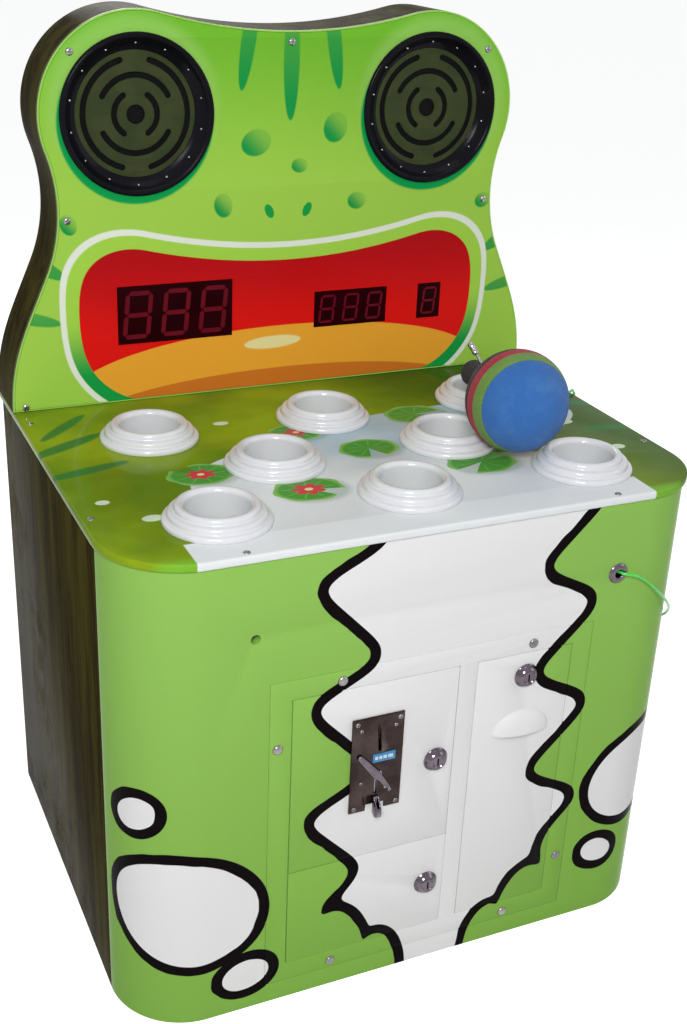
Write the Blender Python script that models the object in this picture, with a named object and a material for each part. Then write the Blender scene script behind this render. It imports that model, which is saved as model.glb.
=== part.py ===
# Hammer arcade machine: a green cabinet with eight pop-up targets and a tethered foam hammer.
# Metres, +Z up. The origin is on the floor at the centre of the cabinet's footprint.
# The front faces -Y and the headboard stands at the back.

import math

import bmesh
import bpy
from mathutils import Matrix, Vector

for oldObject in list(bpy.data.objects):
    bpy.data.objects.remove(oldObject, do_unlink=True)

# Driving sizes of the cabinet
cabinetWidth = 0.720
cabinetDepth = 0.559
cabinetHeight = 0.596
cornerRadius = 0.092
boardThickness = 0.015
gap = 0.0003
cutOverrun = 0.005

halfWidth = cabinetWidth / 2
frontY = -cabinetDepth / 2
backY = cabinetDepth / 2
cornerX = halfWidth - cornerRadius
cornerY = frontY + cornerRadius
innerInset = boardThickness + gap

# Deck
deckThickness = 0.010
deckOverhang = 0.004
deckEdgeRound = 0.003
deckTop = cabinetHeight + deckThickness
panelTop = cabinetHeight - gap

# Grid of holes: three in the front row, two between, three at the back
columnMargin = 0.132
frontRowSetback = 0.086
backRowMargin = 0.225
holePitchX = halfWidth - columnMargin
holePitchY = (cabinetDepth - frontRowSetback - backRowMargin) / 2
frontRowY = frontY + frontRowSetback
middleRowY = frontRowY + holePitchY
backRowY = middleRowY + holePitchY
frontRowX = [-holePitchX, 0, holePitchX]
middleRowX = [-holePitchX / 2, holePitchX / 2]
rows = [(frontRowY, frontRowX), (middleRowY, middleRowX), (backRowY, frontRowX)]
holes = [(x, y) for y, columns in rows for x in columns]

# Ring set in each hole
ringRadius = 0.0597
ringBoreRadius = 0.036
ringHeight = 0.022
ringSkirtWall = 0.0035
ringSkirtDepth = 0.030
ringSides = 24
ringRadiusShares = [1.0, 0.975, 0.905, 0.875, 0.78, 0.745, 0.675, 0.625]
ringHeightShares = [0.10, 0.30, 0.36, 0.62, 0.68, 0.93, 1.0, 0.86]

# Target: a dome on a stem that rests on the carrier board
targetRadius = 0.033
targetDrop = 0.016
targetHeadHeight = 0.060
stemRadius = 0.009
rodRadius = 0.005
rodClearance = 0.0005
targetSides = 12
domeRadiusShares = [0, 0.42, 0.76, 0.95, 1.0]
domeDropShares = [0, 0.03, 0.13, 0.30, 0.52]
skirtRadiusShare = 0.85
skirtDropShare = 0.88

# Carrier board under the deck, and the row drives that hang below it
carrierDrop = 0.154
carrierThickness = 0.012
carrierFrontSetback = 0.045
carrierTop = cabinetHeight - carrierDrop
carrierBottom = carrierTop - carrierThickness
coilSize = 0.038
coilHeight = 0.060
driveRailThickness = 0.003
rodTail = 0.013

# Battens under the deck
battenWidth = 0.025
battenHeight = 0.030

# Door frame let into the front, and its three doors, as shares of the flat front's half width
frameLeftShare = -0.7388
frameRightShare = 0.7873
coinDoorLeftShare = -0.6381
coinDoorRightShare = 0.1269
serviceDoorLeftShare = 0.2164
serviceDoorRightShare = 0.6884
frameLeft = cornerX * frameLeftShare
frameRight = cornerX * frameRightShare
frameBottom = 0.027
frameTopDrop = 0.150
frameTop = cabinetHeight - frameTopDrop
frameDepth = 0.012
frameRail = 0.026
serviceFootRise = 0.002
doorSplitShare = 0.3771
coinDoorLeft = cornerX * coinDoorLeftShare
coinDoorRight = cornerX * coinDoorRightShare
cashDoorBottom = frameBottom + frameRail
coinDoorBottom = frameBottom + (frameTop - frameBottom) * doorSplitShare
coinDoorTop = frameTop - frameRail
serviceDoorLeft = cornerX * serviceDoorLeftShare
serviceDoorRight = cornerX * serviceDoorRightShare
serviceDoorBottom = cashDoorBottom + serviceFootRise
serviceDoorTop = coinDoorTop
doorGap = 0.0008
doorSheet = 0.002
hingeInset = 0.004
hingeSetback = 0.001

# Locks: a domed plug with a cam behind the door
lockRadius = 0.0155
lockDome = 0.009
lockBarrelRadius = 0.0095
lockSides = 16
lockRadiusShares = [0, 0.34, 0.66, 0.90, 1.0, 1.0]
lockDomeShares = [1.0, 0.97, 0.78, 0.46, 0.14, 0.04]
lockBarrelGap = 0.0003
camLength = 0.038
camHalfWidth = 0.006
camThickness = 0.0025
camSetback = 0.0012
keySlotLength = 0.010
keySlotWidth = 0.0024
keySlotDepth = 0.003
coinLockShare = 0.0410
coinLockDrop = 0.0025
serviceLockShare = 0.4627
serviceLockDrop = 0.030
coinLockX = cornerX * coinLockShare
coinLockZ = (coinDoorBottom + coinDoorTop) / 2 - coinLockDrop
cashLockX = coinLockX
cashLockZ = (cashDoorBottom + coinDoorBottom) / 2
serviceLockX = cornerX * serviceLockShare
serviceLockZ = serviceDoorTop - serviceLockDrop

# Coin plate on the coin door, with its mechanism behind
plateWidth = 0.065
plateHeight = 0.127
plateThickness = 0.003
plateEdge = 0.001
plateShare = -0.2494
plateRise = 0.0125
plateX = cornerX * plateShare
plateZ = (coinDoorBottom + coinDoorTop) / 2 + plateRise
funnelTop = 0.054
funnelBottom = 0.018
funnelHalfWidth = 0.016
funnelTopHalfWidth = 0.003
funnelRise = 0.006
funnelTopRise = 0.001
coinSlotWidth = 0.003
coinSlotTop = 0.048
coinSlotBottom = 0.021
viewSlotWidth = 0.0034
viewSlotTop = -0.018
viewSlotBottom = -0.042
notchHalfWidth = 0.012
notchHeight = 0.009
mechWidth = 0.048
mechHeight = 0.098
mechDepth = 0.055
mechChuteDepth = 0.030
mechChuteHeight = 0.034
mechClearance = 0.001

# Reject lever on the coin plate
leverX = -0.002
leverZ = -0.012
leverLeftX = -0.022
leverLeftZ = 0.013
leverRightX = 0.015
leverRightZ = -0.034
leverHubRadius = 0.0055
leverLeftRadius = 0.0036
leverRightRadius = 0.0026
leverThickness = 0.004
leverSides = 10

# Coin return scoop under the plate
scoopHalfWidth = 0.0034
scoopSlotHalfWidth = 0.0018
scoopTop = -0.044
scoopHeight = 0.025
scoopReach = 0.013
scoopWall = 0.0016
scoopReachShares = [0.22, 0.50, 0.88, 1.0, 0.86, 0.48]
scoopDropShares = [0, 0.20, 0.46, 0.72, 0.93, 1.0]
scoopHeelShare = 0.90

# Finger pull pressed from the service door
pullDrop = 0.106
pullX = serviceLockX
pullZ = serviceDoorTop - pullDrop
pullHalfWidth = 0.038
pullHeight = 0.029
pullReach = 0.012
pullWall = 0.002
pullSides = 12
pullLayers = 4

# Cash box behind the cash door
cashBoxLeft = -0.160
cashBoxRight = 0.020
cashBoxSetback = 0.035
cashBoxDepth = 0.140
cashBoxHeight = 0.120
cashBoxWall = 0.002

# Eyelet for the tether and a spare hole on the other side
eyeletShare = 0.8821
eyeletDrop = 0.091
eyeletX = cornerX * eyeletShare
eyeletZ = cabinetHeight - eyeletDrop
eyeletRadius = 0.0145
eyeletBarrelRadius = 0.0085
eyeletBoreRadius = 0.006
eyeletRise = 0.003
eyeletSides = 16
spareHoleShare = -0.8041
spareHoleX = cornerX * spareHoleShare
spareHoleRadius = 0.0055
spareHoleSides = 16

# Headboard outline: two round bumps, a waist, a wide base and a shallow dip at the top
headDepth = 0.093
headHalfBase = halfWidth + deckOverhang
bumpInset = 0.1685
bumpX = headHalfBase - bumpInset
bumpZ = 0.358
bumpRadius = 0.120
waistRadius = 0.200
waistAngle = math.radians(-19.6)
waistLowAngle = math.radians(203.5)
dipRadius = 0.675
lowerHandleShare = 0.38
upperHandleShare = 0.42
lowerSteps = 9
waistSteps = 7
bumpSteps = 14
dipSteps = 5
headFaceThickness = 0.009
headWall = 0.012
trimWidth = 0.0025
headFaceY = backY - headDepth

# Eyes on the headboard: a round bowl with a slotted grille and a speaker behind
eyeRadius = 0.095
eyeHoleRadius = 0.0875
eyeSides = 28
bezelRadiusShares = [1.0, 0.99, 0.953, 0.921, 0.782, 0.782, 0.814, 0.91, 0.917]
bezelDepth = 0.013
bezelDepthShares = [-0.023, -0.27, -0.346, -0.19, 0.70, 1.0, 1.0, 0.40, -0.023]
grilleFront = 0.0095
grilleThickness = 0.0025
grilleHoleShare = 0.12
slotWidthShare = 0.075
slotSteps = 6
grilleArcShares = [
    (0.28, 0, 56), (0.28, 180, 56),
    (0.48, 90, 62), (0.48, 270, 62),
    (0.68, 0, 74), (0.68, 180, 74),
]
speakerRadius = 0.078
speakerFlange = 0.002
speakerDepth = 0.045
magnetRadius = 0.036
speakerNeckShare = 0.50
speakerSides = 20

# Display windows: left, right, bottom and top edges above the deck
displayWindows = {
    "score_display": (-0.227, -0.0756, 0.077, 0.151),
    "target_display": (0.041, 0.1464, 0.077, 0.125),
    "credit_display": (0.195, 0.229, 0.077, 0.125),
}
displayProud = 0.0008
displayFlange = 0.006
displayBoardDepth = 0.011

# Main board on the rear panel
mainBoardX = -0.120
mainBoardZ = 0.230
mainBoardWidth = 0.200
mainBoardHeight = 0.140
mainBoardThickness = 0.0016
standoffLength = 0.010
standoffSize = 0.007
standoffInset = 0.010
chipShares = [(0.20, 0.62, 0.30, 0.20), (0.60, 0.60, 0.16, 0.24), (0.24, 0.18, 0.46, 0.16)]
chipHeight = 0.008

# Power supply on the base, and the mains inlet in the rear panel
supplyX = 0.180
supplyRearGap = 0.0142
supplyWidth = 0.110
supplyDepth = 0.160
supplyHeight = 0.050
supplyFoldWidth = 0.006
supplyY = backY - innerInset - supplyRearGap - supplyDepth / 2
inletMargin = 0.110
inletX = halfWidth - inletMargin
inletZ = 0.090
inletBodyWidth = 0.027
inletBodyHeight = 0.020
inletBodyDepth = 0.026
inletFlangeWidth = 0.050
inletFlangeHeight = 0.025
inletFlangeThickness = 0.003
inletSocketWidth = 0.0235
inletSocketHeight = 0.0165
inletSocketDepth = 0.017

# Hammer: a ball of stacked foam layers on a black grip, resting on the rings between two columns and two rows
ballRadius = 0.0616
ballColumnShare = 0.479
ballRowShare = 0.4984
gripSlopeShares = Vector((0.146, 0.985, -0.095))
gripDirection = gripSlopeShares.normalized()
blueEndAngle = math.radians(65)
greenEndAngle = math.radians(81)
redEndAngle = math.radians(96)
coreRadius = 0.010
coreGap = 0.0003
coreDepthShare = 0.40
gripRadius = 0.017
gripReach = 0.148
gripRound = 0.004
foamSides = 24
blueSteps = 6
layerSteps = 2
blackSteps = 6
hammerLift = 0.150

# Ferrule and short neck that stand on the grip
neckFootReach = 0.118
neckRadius = 0.0018
ferruleRadius = 0.004
ferruleLength = 0.017
ferruleEdge = 0.0008
neckFoot = Vector((0.0189, 0.1162, 0.0046))
ferruleTip = Vector((0.0094, 0.1372, 0.0288))
ferruleSides = 12

# Tether, a thin coated wire rope
tetherRadius = 0.00175
tetherSteps = 80


def makeMaterial(name, color, roughness, metallic=0.0):
    surface = bpy.data.materials.new(name)
    surface.use_nodes = True
    shader = surface.node_tree.nodes["Principled BSDF"]
    shader.inputs["Base Color"].default_value = (*color, 1)
    shader.inputs["Roughness"].default_value = roughness
    shader.inputs["Metallic"].default_value = metallic
    return surface


def addPiece(name, shape, surface, origin=(0, 0, 0), smoothAngle=None):
    """Turns a bmesh in world coordinates into an object whose own origin is at `origin`."""
    bmesh.ops.recalc_face_normals(shape, faces=shape.faces)
    bmesh.ops.translate(shape, verts=shape.verts, vec=-Vector(origin))
    mesh = bpy.data.meshes.new(name)
    shape.to_mesh(mesh)
    shape.free()
    if smoothAngle is not None:
        mesh.shade_smooth()
        mesh.set_sharp_from_angle(angle=smoothAngle)
    piece = bpy.data.objects.new(name, mesh)
    piece.location = origin
    piece.data.materials.append(surface)
    bpy.context.collection.objects.link(piece)
    return piece


def combine(piece, shapes, operation):
    """Cuts or joins bmesh shapes to a piece with one Boolean that stays on the piece."""
    tool = shapes[0]
    for extra in shapes[1:]:
        scratch = bpy.data.meshes.new("scratch")
        extra.to_mesh(scratch)
        tool.from_mesh(scratch)
        extra.free()
        bpy.data.meshes.remove(scratch)
    bmesh.ops.recalc_face_normals(tool, faces=tool.faces)
    mesh = bpy.data.meshes.new(piece.name + "_tool")
    tool.to_mesh(mesh)
    tool.free()
    toolObject = bpy.data.objects.new(piece.name + "_" + operation.lower(), mesh)
    toolObject.hide_render = True
    toolObject.display_type = "WIRE"
    bpy.context.collection.objects.link(toolObject)
    step = piece.modifiers.new(operation.title(), "BOOLEAN")
    step.operation = operation
    step.solver = "EXACT"
    step.object = toolObject


def stack(loops, ring=False):
    """Skins a row of loops with equal counts; a ring joins the last loop to the first."""
    shape = bmesh.new()
    rings = [[shape.verts.new(point) for point in loop] for loop in loops]
    pairs = list(zip(rings, rings[1:]))
    if ring:
        pairs.append((rings[-1], rings[0]))
    for low, high in pairs:
        for here in range(len(low)):
            after = (here + 1) % len(low)
            shape.faces.new((low[here], low[after], high[after], high[here]))
    if not ring:
        shape.faces.new(rings[0])
        shape.faces.new(rings[-1])
    return shape


def strip(outer, inner, low, high):
    """An open band between two plan outlines, from one height to another."""
    shape = bmesh.new()
    corners = []
    for (outerX, outerY), (innerX, innerY) in zip(outer, inner):
        section = [(outerX, outerY, low), (outerX, outerY, high), (innerX, innerY, high), (innerX, innerY, low)]
        corners.append([shape.verts.new(point) for point in section])
    for here, after in zip(corners, corners[1:]):
        for side in range(4):
            turn = (side + 1) % 4
            shape.faces.new((here[side], here[turn], after[turn], after[side]))
    shape.faces.new(corners[0])
    shape.faces.new(corners[-1])
    return shape


def box(left, right, front, back, low, high):
    plan = [(left, front), (right, front), (right, back), (left, back)]
    return stack([[(x, y, z) for x, y in plan] for z in (low, high)])


def turned(profile, sides, place=Matrix(), ring=False):
    """Spins (radius, height) points round local Z; a ring profile closes on itself."""
    shape = bmesh.new()
    loops = []
    for radius, height in profile:
        if radius == 0:
            loops.append([shape.verts.new((0, 0, height))])
            continue
        angles = [2 * math.pi * side / sides for side in range(sides)]
        loops.append([shape.verts.new((radius * math.cos(a), radius * math.sin(a), height)) for a in angles])
    pairs = list(zip(loops, loops[1:]))
    if ring:
        pairs.append((loops[-1], loops[0]))
    for low, high in pairs:
        for side in range(sides):
            after = (side + 1) % sides
            if len(low) == 1:
                shape.faces.new((low[0], high[after], high[side]))
            elif len(high) == 1:
                shape.faces.new((low[side], low[after], high[0]))
            else:
                shape.faces.new((low[side], low[after], high[after], high[side]))
    bmesh.ops.transform(shape, matrix=place, verts=shape.verts)
    return shape


def rod(radius, start, end, sides):
    """A plain cylinder between two points, also used as a round cutter."""
    return turned([(0, 0), (radius, 0), (radius, (end - start).length), (0, (end - start).length)],
                  sides, alongLine(start, end - start))


def alongLine(start, direction):
    """A placement whose local Z runs from start along direction."""
    return Matrix.Translation(start) @ direction.to_track_quat("Z", "Y").to_matrix().to_4x4()


def facingBack(x, y, z):
    """A placement whose local Z runs towards +Y, into the cabinet."""
    return Matrix.Translation((x, y, z)) @ Matrix.Rotation(-math.pi / 2, 4, "X")


def arc(centerX, centerY, radius, start, end, steps):
    angles = [start + (end - start) * step / steps for step in range(steps + 1)]
    return [(centerX + radius * math.cos(a), centerY + radius * math.sin(a)) for a in angles]


def frontCurve(inset):
    """The rounded front of the cabinet in plan, moved in by inset."""
    radius = cornerRadius - inset
    left = arc(-cornerX, cornerY, radius, math.pi, 1.5 * math.pi, 8)
    right = arc(cornerX, cornerY, radius, 1.5 * math.pi, 2 * math.pi, 8)
    return left + right


def footprint(inset, backInset):
    """The cabinet's whole plan outline, moved in by inset and by backInset at the rear."""
    side = halfWidth - inset
    rear = backY - backInset
    return [(-side, rear)] + frontCurve(inset) + [(side, rear)]


def atHeight(outline, height):
    return [(x, y, height) for x, y in outline]


def atDepth(outline, depth):
    return [(x, depth, z) for x, z in outline]


def insetOutline(outline, distance):
    """Moves a counterclockwise outline inward, with mitred corners."""
    moved = []
    count = len(outline)
    for here in range(count):
        before = Vector(outline[here - 1])
        point = Vector(outline[here])
        after = Vector(outline[(here + 1) % count])
        firstEdge = (point - before).normalized()
        secondEdge = (after - point).normalized()
        firstNormal = Vector((-firstEdge.y, firstEdge.x))
        secondNormal = Vector((-secondEdge.y, secondEdge.x))
        shift = (firstNormal + secondNormal) / (1 + firstNormal.dot(secondNormal))
        moved.append(tuple(point + shift * distance))
    return moved


def curveBetween(start, startHandle, endHandle, end, steps):
    points = []
    for step in range(steps):
        t = step / steps
        s = 1 - t
        points.append(tuple(start * s ** 3 + startHandle * 3 * s * s * t + endHandle * 3 * s * t * t + end * t ** 3))
    return points


def headOutline():
    """The headboard's outline above the deck, counterclockwise from its right foot."""
    waist = Vector((bumpX, bumpZ)) + (bumpRadius + waistRadius) * Vector((math.cos(waistAngle), math.sin(waistAngle)))
    foot = Vector((headHalfBase, 0))
    waistLow = waist + waistRadius * Vector((math.cos(waistLowAngle), math.sin(waistLowAngle)))
    rise = Vector((math.sin(waistLowAngle), -math.cos(waistLowAngle)))
    span = (waistLow - foot).length
    footHandle = foot + Vector((0, span * lowerHandleShare))
    waistHandle = waistLow - rise * span * upperHandleShare
    dipZ = bumpZ + math.sqrt((bumpRadius + dipRadius) ** 2 - bumpX ** 2)
    dipAngle = math.atan2(dipZ - bumpZ, -bumpX)
    half = curveBetween(foot, footHandle, waistHandle, waistLow, lowerSteps)
    half += arc(waist.x, waist.y, waistRadius, waistLowAngle, waistAngle + math.pi, waistSteps)[:-1]
    half += arc(bumpX, bumpZ, bumpRadius, waistAngle, dipAngle, bumpSteps)[:-1]
    half += arc(0, dipZ, dipRadius, dipAngle - math.pi, -math.pi / 2, dipSteps)
    return half + [(-x, z) for x, z in reversed(half[:-1])]


def headOutlineAtFoot(inset, lift):
    """The headboard outline moved in by inset and set on the deck."""
    outline = insetOutline(headOutline(), inset) if inset else headOutline()
    return [(x, deckTop + z + lift) for x, z in outline]


# Surfaces
greenPrint = makeMaterial("green_print", (0.28, 0.50, 0.09), 0.30)
whitePaint = makeMaterial("white_paint", (0.82, 0.82, 0.80), 0.32)
darkLaminate = makeMaterial("dark_laminate", (0.055, 0.050, 0.025), 0.25)
bareWood = makeMaterial("bare_wood", (0.50, 0.36, 0.20), 0.65)
deckPrint = makeMaterial("deck_print", (0.40, 0.62, 0.22), 0.20)
ringPlastic = makeMaterial("ring_plastic", (0.85, 0.85, 0.86), 0.22)
targetPlastic = makeMaterial("target_plastic", (0.16, 0.42, 0.07), 0.35)
mirrorChrome = makeMaterial("mirror_chrome", (0.75, 0.75, 0.77), 0.10, 1.0)
darkChrome = makeMaterial("dark_chrome", (0.20, 0.18, 0.17), 0.18, 1.0)
zincSteel = makeMaterial("zinc_steel", (0.55, 0.56, 0.58), 0.38, 1.0)
blackPlastic = makeMaterial("black_plastic", (0.015, 0.015, 0.017), 0.18)
grillePaint = makeMaterial("grille_paint", (0.075, 0.095, 0.060), 0.45)
speakerPaper = makeMaterial("speaker_paper", (0.03, 0.03, 0.03), 0.80)
displayAcrylic = makeMaterial("display_acrylic", (0.05, 0.008, 0.008), 0.12)
circuitBoard = makeMaterial("circuit_board", (0.03, 0.20, 0.07), 0.45)
blueFoam = makeMaterial("blue_foam", (0.06, 0.19, 0.52), 0.75)
greenFoam = makeMaterial("green_foam", (0.24, 0.42, 0.10), 0.75)
redFoam = makeMaterial("red_foam", (0.52, 0.05, 0.06), 0.75)
blackFoam = makeMaterial("black_foam", (0.020, 0.018, 0.018), 0.70)
greenRope = makeMaterial("green_rope", (0.08, 0.55, 0.06), 0.30)

smoothAngle = math.radians(32)


def makeCabinet():
    floorPlan = footprint(innerInset, innerInset)
    addPiece("base_board", stack([atHeight(floorPlan, 0), atHeight(floorPlan, boardThickness)]), bareWood)

    front = addPiece("front_panel", strip(frontCurve(0), frontCurve(boardThickness), 0, panelTop), greenPrint,
                     smoothAngle=smoothAngle)
    throughFront = frontY - cutOverrun
    behindFront = frontY + boardThickness + cutOverrun
    combine(front, [
        box(frameLeft - gap, frameRight + gap, throughFront, behindFront, frameBottom - gap, frameTop + gap),
        rod(eyeletBarrelRadius + gap, Vector((eyeletX, throughFront, eyeletZ)),
            Vector((eyeletX, behindFront, eyeletZ)), eyeletSides),
        rod(spareHoleRadius, Vector((spareHoleX, throughFront, eyeletZ)),
            Vector((spareHoleX, behindFront, eyeletZ)), spareHoleSides),
    ], "DIFFERENCE")

    sideFront = cornerY + gap
    inside = halfWidth - boardThickness
    addPiece("left_side_panel", box(-halfWidth, -inside, sideFront, backY, 0, panelTop), darkLaminate)
    addPiece("right_side_panel", box(inside, halfWidth, sideFront, backY, 0, panelTop), darkLaminate)

    rearEdge = inside - gap
    rear = addPiece("rear_panel", box(-rearEdge, rearEdge, backY - boardThickness, backY, 0, panelTop), darkLaminate)
    inletHalfWidth = inletBodyWidth / 2 + gap
    inletHalfHeight = inletBodyHeight / 2 + gap
    combine(rear, [box(inletX - inletHalfWidth, inletX + inletHalfWidth, backY - boardThickness - cutOverrun,
                       backY + cutOverrun, inletZ - inletHalfHeight, inletZ + inletHalfHeight)], "DIFFERENCE")

    outer = footprint(innerInset, innerInset)
    inner = footprint(innerInset + battenWidth, innerInset + battenWidth)
    low = panelTop - battenHeight
    addPiece("deck_frame", stack([atHeight(outer, low), atHeight(outer, panelTop),
                                  atHeight(inner, panelTop), atHeight(inner, low)], ring=True), bareWood)


def makeDeck():
    outline = footprint(-deckOverhang, 0)
    topOutline = footprint(deckEdgeRound - deckOverhang, deckEdgeRound)
    shape = stack([atHeight(outline, cabinetHeight), atHeight(outline, deckTop - deckEdgeRound),
                   atHeight(topOutline, deckTop)])
    deck = addPiece("deck_board", shape, deckPrint)
    holeRadius = ringBoreRadius + ringSkirtWall + gap
    combine(deck, [rod(holeRadius, Vector((x, y, cabinetHeight - cutOverrun)),
                       Vector((x, y, deckTop + cutOverrun)), ringSides) for x, y in holes], "DIFFERENCE")

    carrierSide = halfWidth - innerInset
    carrierFront = frontY + carrierFrontSetback
    plan = [(-carrierSide, backY - innerInset), (-carrierSide, cornerY), (-cornerX, carrierFront),
            (cornerX, carrierFront), (carrierSide, cornerY), (carrierSide, backY - innerInset)]
    carrier = addPiece("carrier_board", stack([atHeight(plan, carrierBottom), atHeight(plan, carrierTop)]), bareWood)
    rodHole = rodRadius + rodClearance
    combine(carrier, [rod(rodHole, Vector((x, y, carrierBottom - cutOverrun)),
                          Vector((x, y, carrierTop + cutOverrun)), ringSides // 2) for x, y in holes], "DIFFERENCE")


def makeRingsAndTargets():
    skirtRadius = ringBoreRadius + ringSkirtWall
    profile = [(ringBoreRadius, -ringSkirtDepth), (skirtRadius, -ringSkirtDepth), (skirtRadius, gap), (ringRadius, gap)]
    profile += [(ringRadius * wide, ringHeight * tall) for wide, tall in zip(ringRadiusShares, ringHeightShares)]
    targetTop = deckTop - targetDrop
    headBottom = -targetHeadHeight
    shoulder = carrierTop + gap - targetTop
    rodEnd = carrierBottom - gap - driveRailThickness - coilHeight - rodTail - targetTop
    dome = [(targetRadius * wide, headBottom * drop) for wide, drop in zip(domeRadiusShares, domeDropShares)]
    dome += [(targetRadius, headBottom * skirtDropShare), (targetRadius * skirtRadiusShare, headBottom),
             (stemRadius, headBottom), (stemRadius, shoulder), (rodRadius, shoulder), (rodRadius, rodEnd), (0, rodEnd)]
    for number, (x, y) in enumerate(holes, start=1):
        addPiece(f"ring_{number}", turned(profile, ringSides, Matrix.Translation((x, y, deckTop)), ring=True),
                 ringPlastic, origin=(x, y, deckTop), smoothAngle=math.radians(50))
        addPiece(f"target_{number}", turned(dome, targetSides, Matrix.Translation((x, y, targetTop))),
                 targetPlastic, origin=(x, y, targetTop), smoothAngle=math.radians(50))


def makeDrives():
    """A steel rail with one coil under each target of a row, cut through for the rods."""
    railTop = carrierBottom - gap
    railBottom = railTop - driveRailThickness
    coilBottom = railBottom - coilHeight
    half = coilSize / 2
    for name, (y, columns) in zip(("front_drive", "middle_drive", "back_drive"), rows):
        outline = [(columns[-1] + half, railTop), (columns[0] - half, railTop)]
        for x in columns:
            outline += [(x - half, coilBottom), (x + half, coilBottom)]
            if x != columns[-1]:
                outline += [(x + half, railBottom), (columns[columns.index(x) + 1] - half, railBottom)]
        drive = addPiece(name, stack([atDepth(outline, y - half), atDepth(outline, y + half)]), zincSteel)
        combine(drive, [rod(rodRadius + rodClearance, Vector((x, y, coilBottom - cutOverrun)),
                            Vector((x, y, railTop + cutOverrun)), ringSides // 2) for x in columns], "DIFFERENCE")


def makeDoorFrame():
    frame = addPiece("door_frame", box(frameLeft, frameRight, frontY, frontY + frameDepth, frameBottom, frameTop),
                     whitePaint)
    ahead = frontY - cutOverrun
    behind = frontY + frameDepth + cutOverrun
    combine(frame, [
        box(coinDoorLeft - doorGap, coinDoorRight + doorGap, ahead, behind,
            cashDoorBottom - doorGap, coinDoorTop + doorGap),
        box(serviceDoorLeft - doorGap, serviceDoorRight + doorGap, ahead, behind,
            serviceDoorBottom - doorGap, serviceDoorTop + doorGap),
    ], "DIFFERENCE")


def trayHollow(left, right, low, high):
    """What is taken from a door blank to leave its face sheet and folded edges."""
    return box(left + doorSheet, right - doorSheet, frontY + doorSheet, frontY + frameDepth + cutOverrun,
               low + doorSheet, high - doorSheet)


def lockHole(x, z):
    return rod(lockBarrelRadius + lockBarrelGap, Vector((x, frontY - cutOverrun, z)),
               Vector((x, frontY + frameDepth, z)), lockSides)


def makeDoors():
    hingeY = frontY + hingeSetback
    coinDoorLow = coinDoorBottom + doorGap
    coinDoor = addPiece("coin_door", box(coinDoorLeft, coinDoorRight, frontY, frontY + frameDepth,
                                         coinDoorLow, coinDoorTop), whitePaint,
                        origin=(coinDoorLeft + hingeInset, hingeY, coinDoorLow))
    mechHalfWidth = mechWidth / 2 + mechClearance
    mechHalfHeight = mechHeight / 2 + mechClearance
    combine(coinDoor, [trayHollow(coinDoorLeft, coinDoorRight, coinDoorLow, coinDoorTop)], "DIFFERENCE")
    combine(coinDoor, [lockHole(coinLockX, coinLockZ),
                       box(plateX - mechHalfWidth, plateX + mechHalfWidth, frontY - cutOverrun,
                           frontY + frameDepth, plateZ - mechHalfHeight, plateZ + mechHalfHeight)], "DIFFERENCE")

    cashDoor = addPiece("cash_door", box(coinDoorLeft, coinDoorRight, frontY, frontY + frameDepth,
                                         cashDoorBottom, coinDoorBottom), whitePaint,
                        origin=(coinDoorLeft + hingeInset, hingeY, cashDoorBottom))
    combine(cashDoor, [trayHollow(coinDoorLeft, coinDoorRight, cashDoorBottom, coinDoorBottom)], "DIFFERENCE")
    combine(cashDoor, [lockHole(cashLockX, cashLockZ)], "DIFFERENCE")

    serviceDoor = addPiece("service_door", box(serviceDoorLeft, serviceDoorRight, frontY, frontY + frameDepth,
                                               serviceDoorBottom, serviceDoorTop), whitePaint,
                           origin=(pullX, hingeY, serviceDoorBottom + hingeInset))
    combine(serviceDoor, [trayHollow(serviceDoorLeft, serviceDoorRight, serviceDoorBottom, serviceDoorTop)],
            "DIFFERENCE")
    combine(serviceDoor, [lockHole(serviceLockX, serviceLockZ)], "DIFFERENCE")
    combine(serviceDoor, [pullHood(0)], "UNION")
    combine(serviceDoor, [pullHood(pullWall)], "DIFFERENCE")


def pullHood(inset):
    """Half a flattened dome with a flat underside, standing out from the door face."""
    halfWidthHere = pullHalfWidth - inset
    heightHere = pullHeight - inset
    reachHere = pullReach - inset
    root = frontY + (doorSheet / 2 if inset == 0 else 0)
    low = pullZ - (inset and cutOverrun)
    loops = []
    for layer in range(pullLayers):
        lean = math.pi / 2 * layer / pullLayers
        spread = math.cos(lean)
        depth = frontY - reachHere * math.sin(lean) if layer else root
        loop = [(pullX + halfWidthHere * spread * math.cos(math.pi * side / pullSides), depth,
                 pullZ + heightHere * spread * math.sin(math.pi * side / pullSides)) for side in range(pullSides + 1)]
        if inset:
            loop = [(pullX + halfWidthHere * spread, depth, low)] + loop
            loop += [(pullX - halfWidthHere * spread, depth, low)]
        loops.append(loop)
    return stack(loops)


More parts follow.
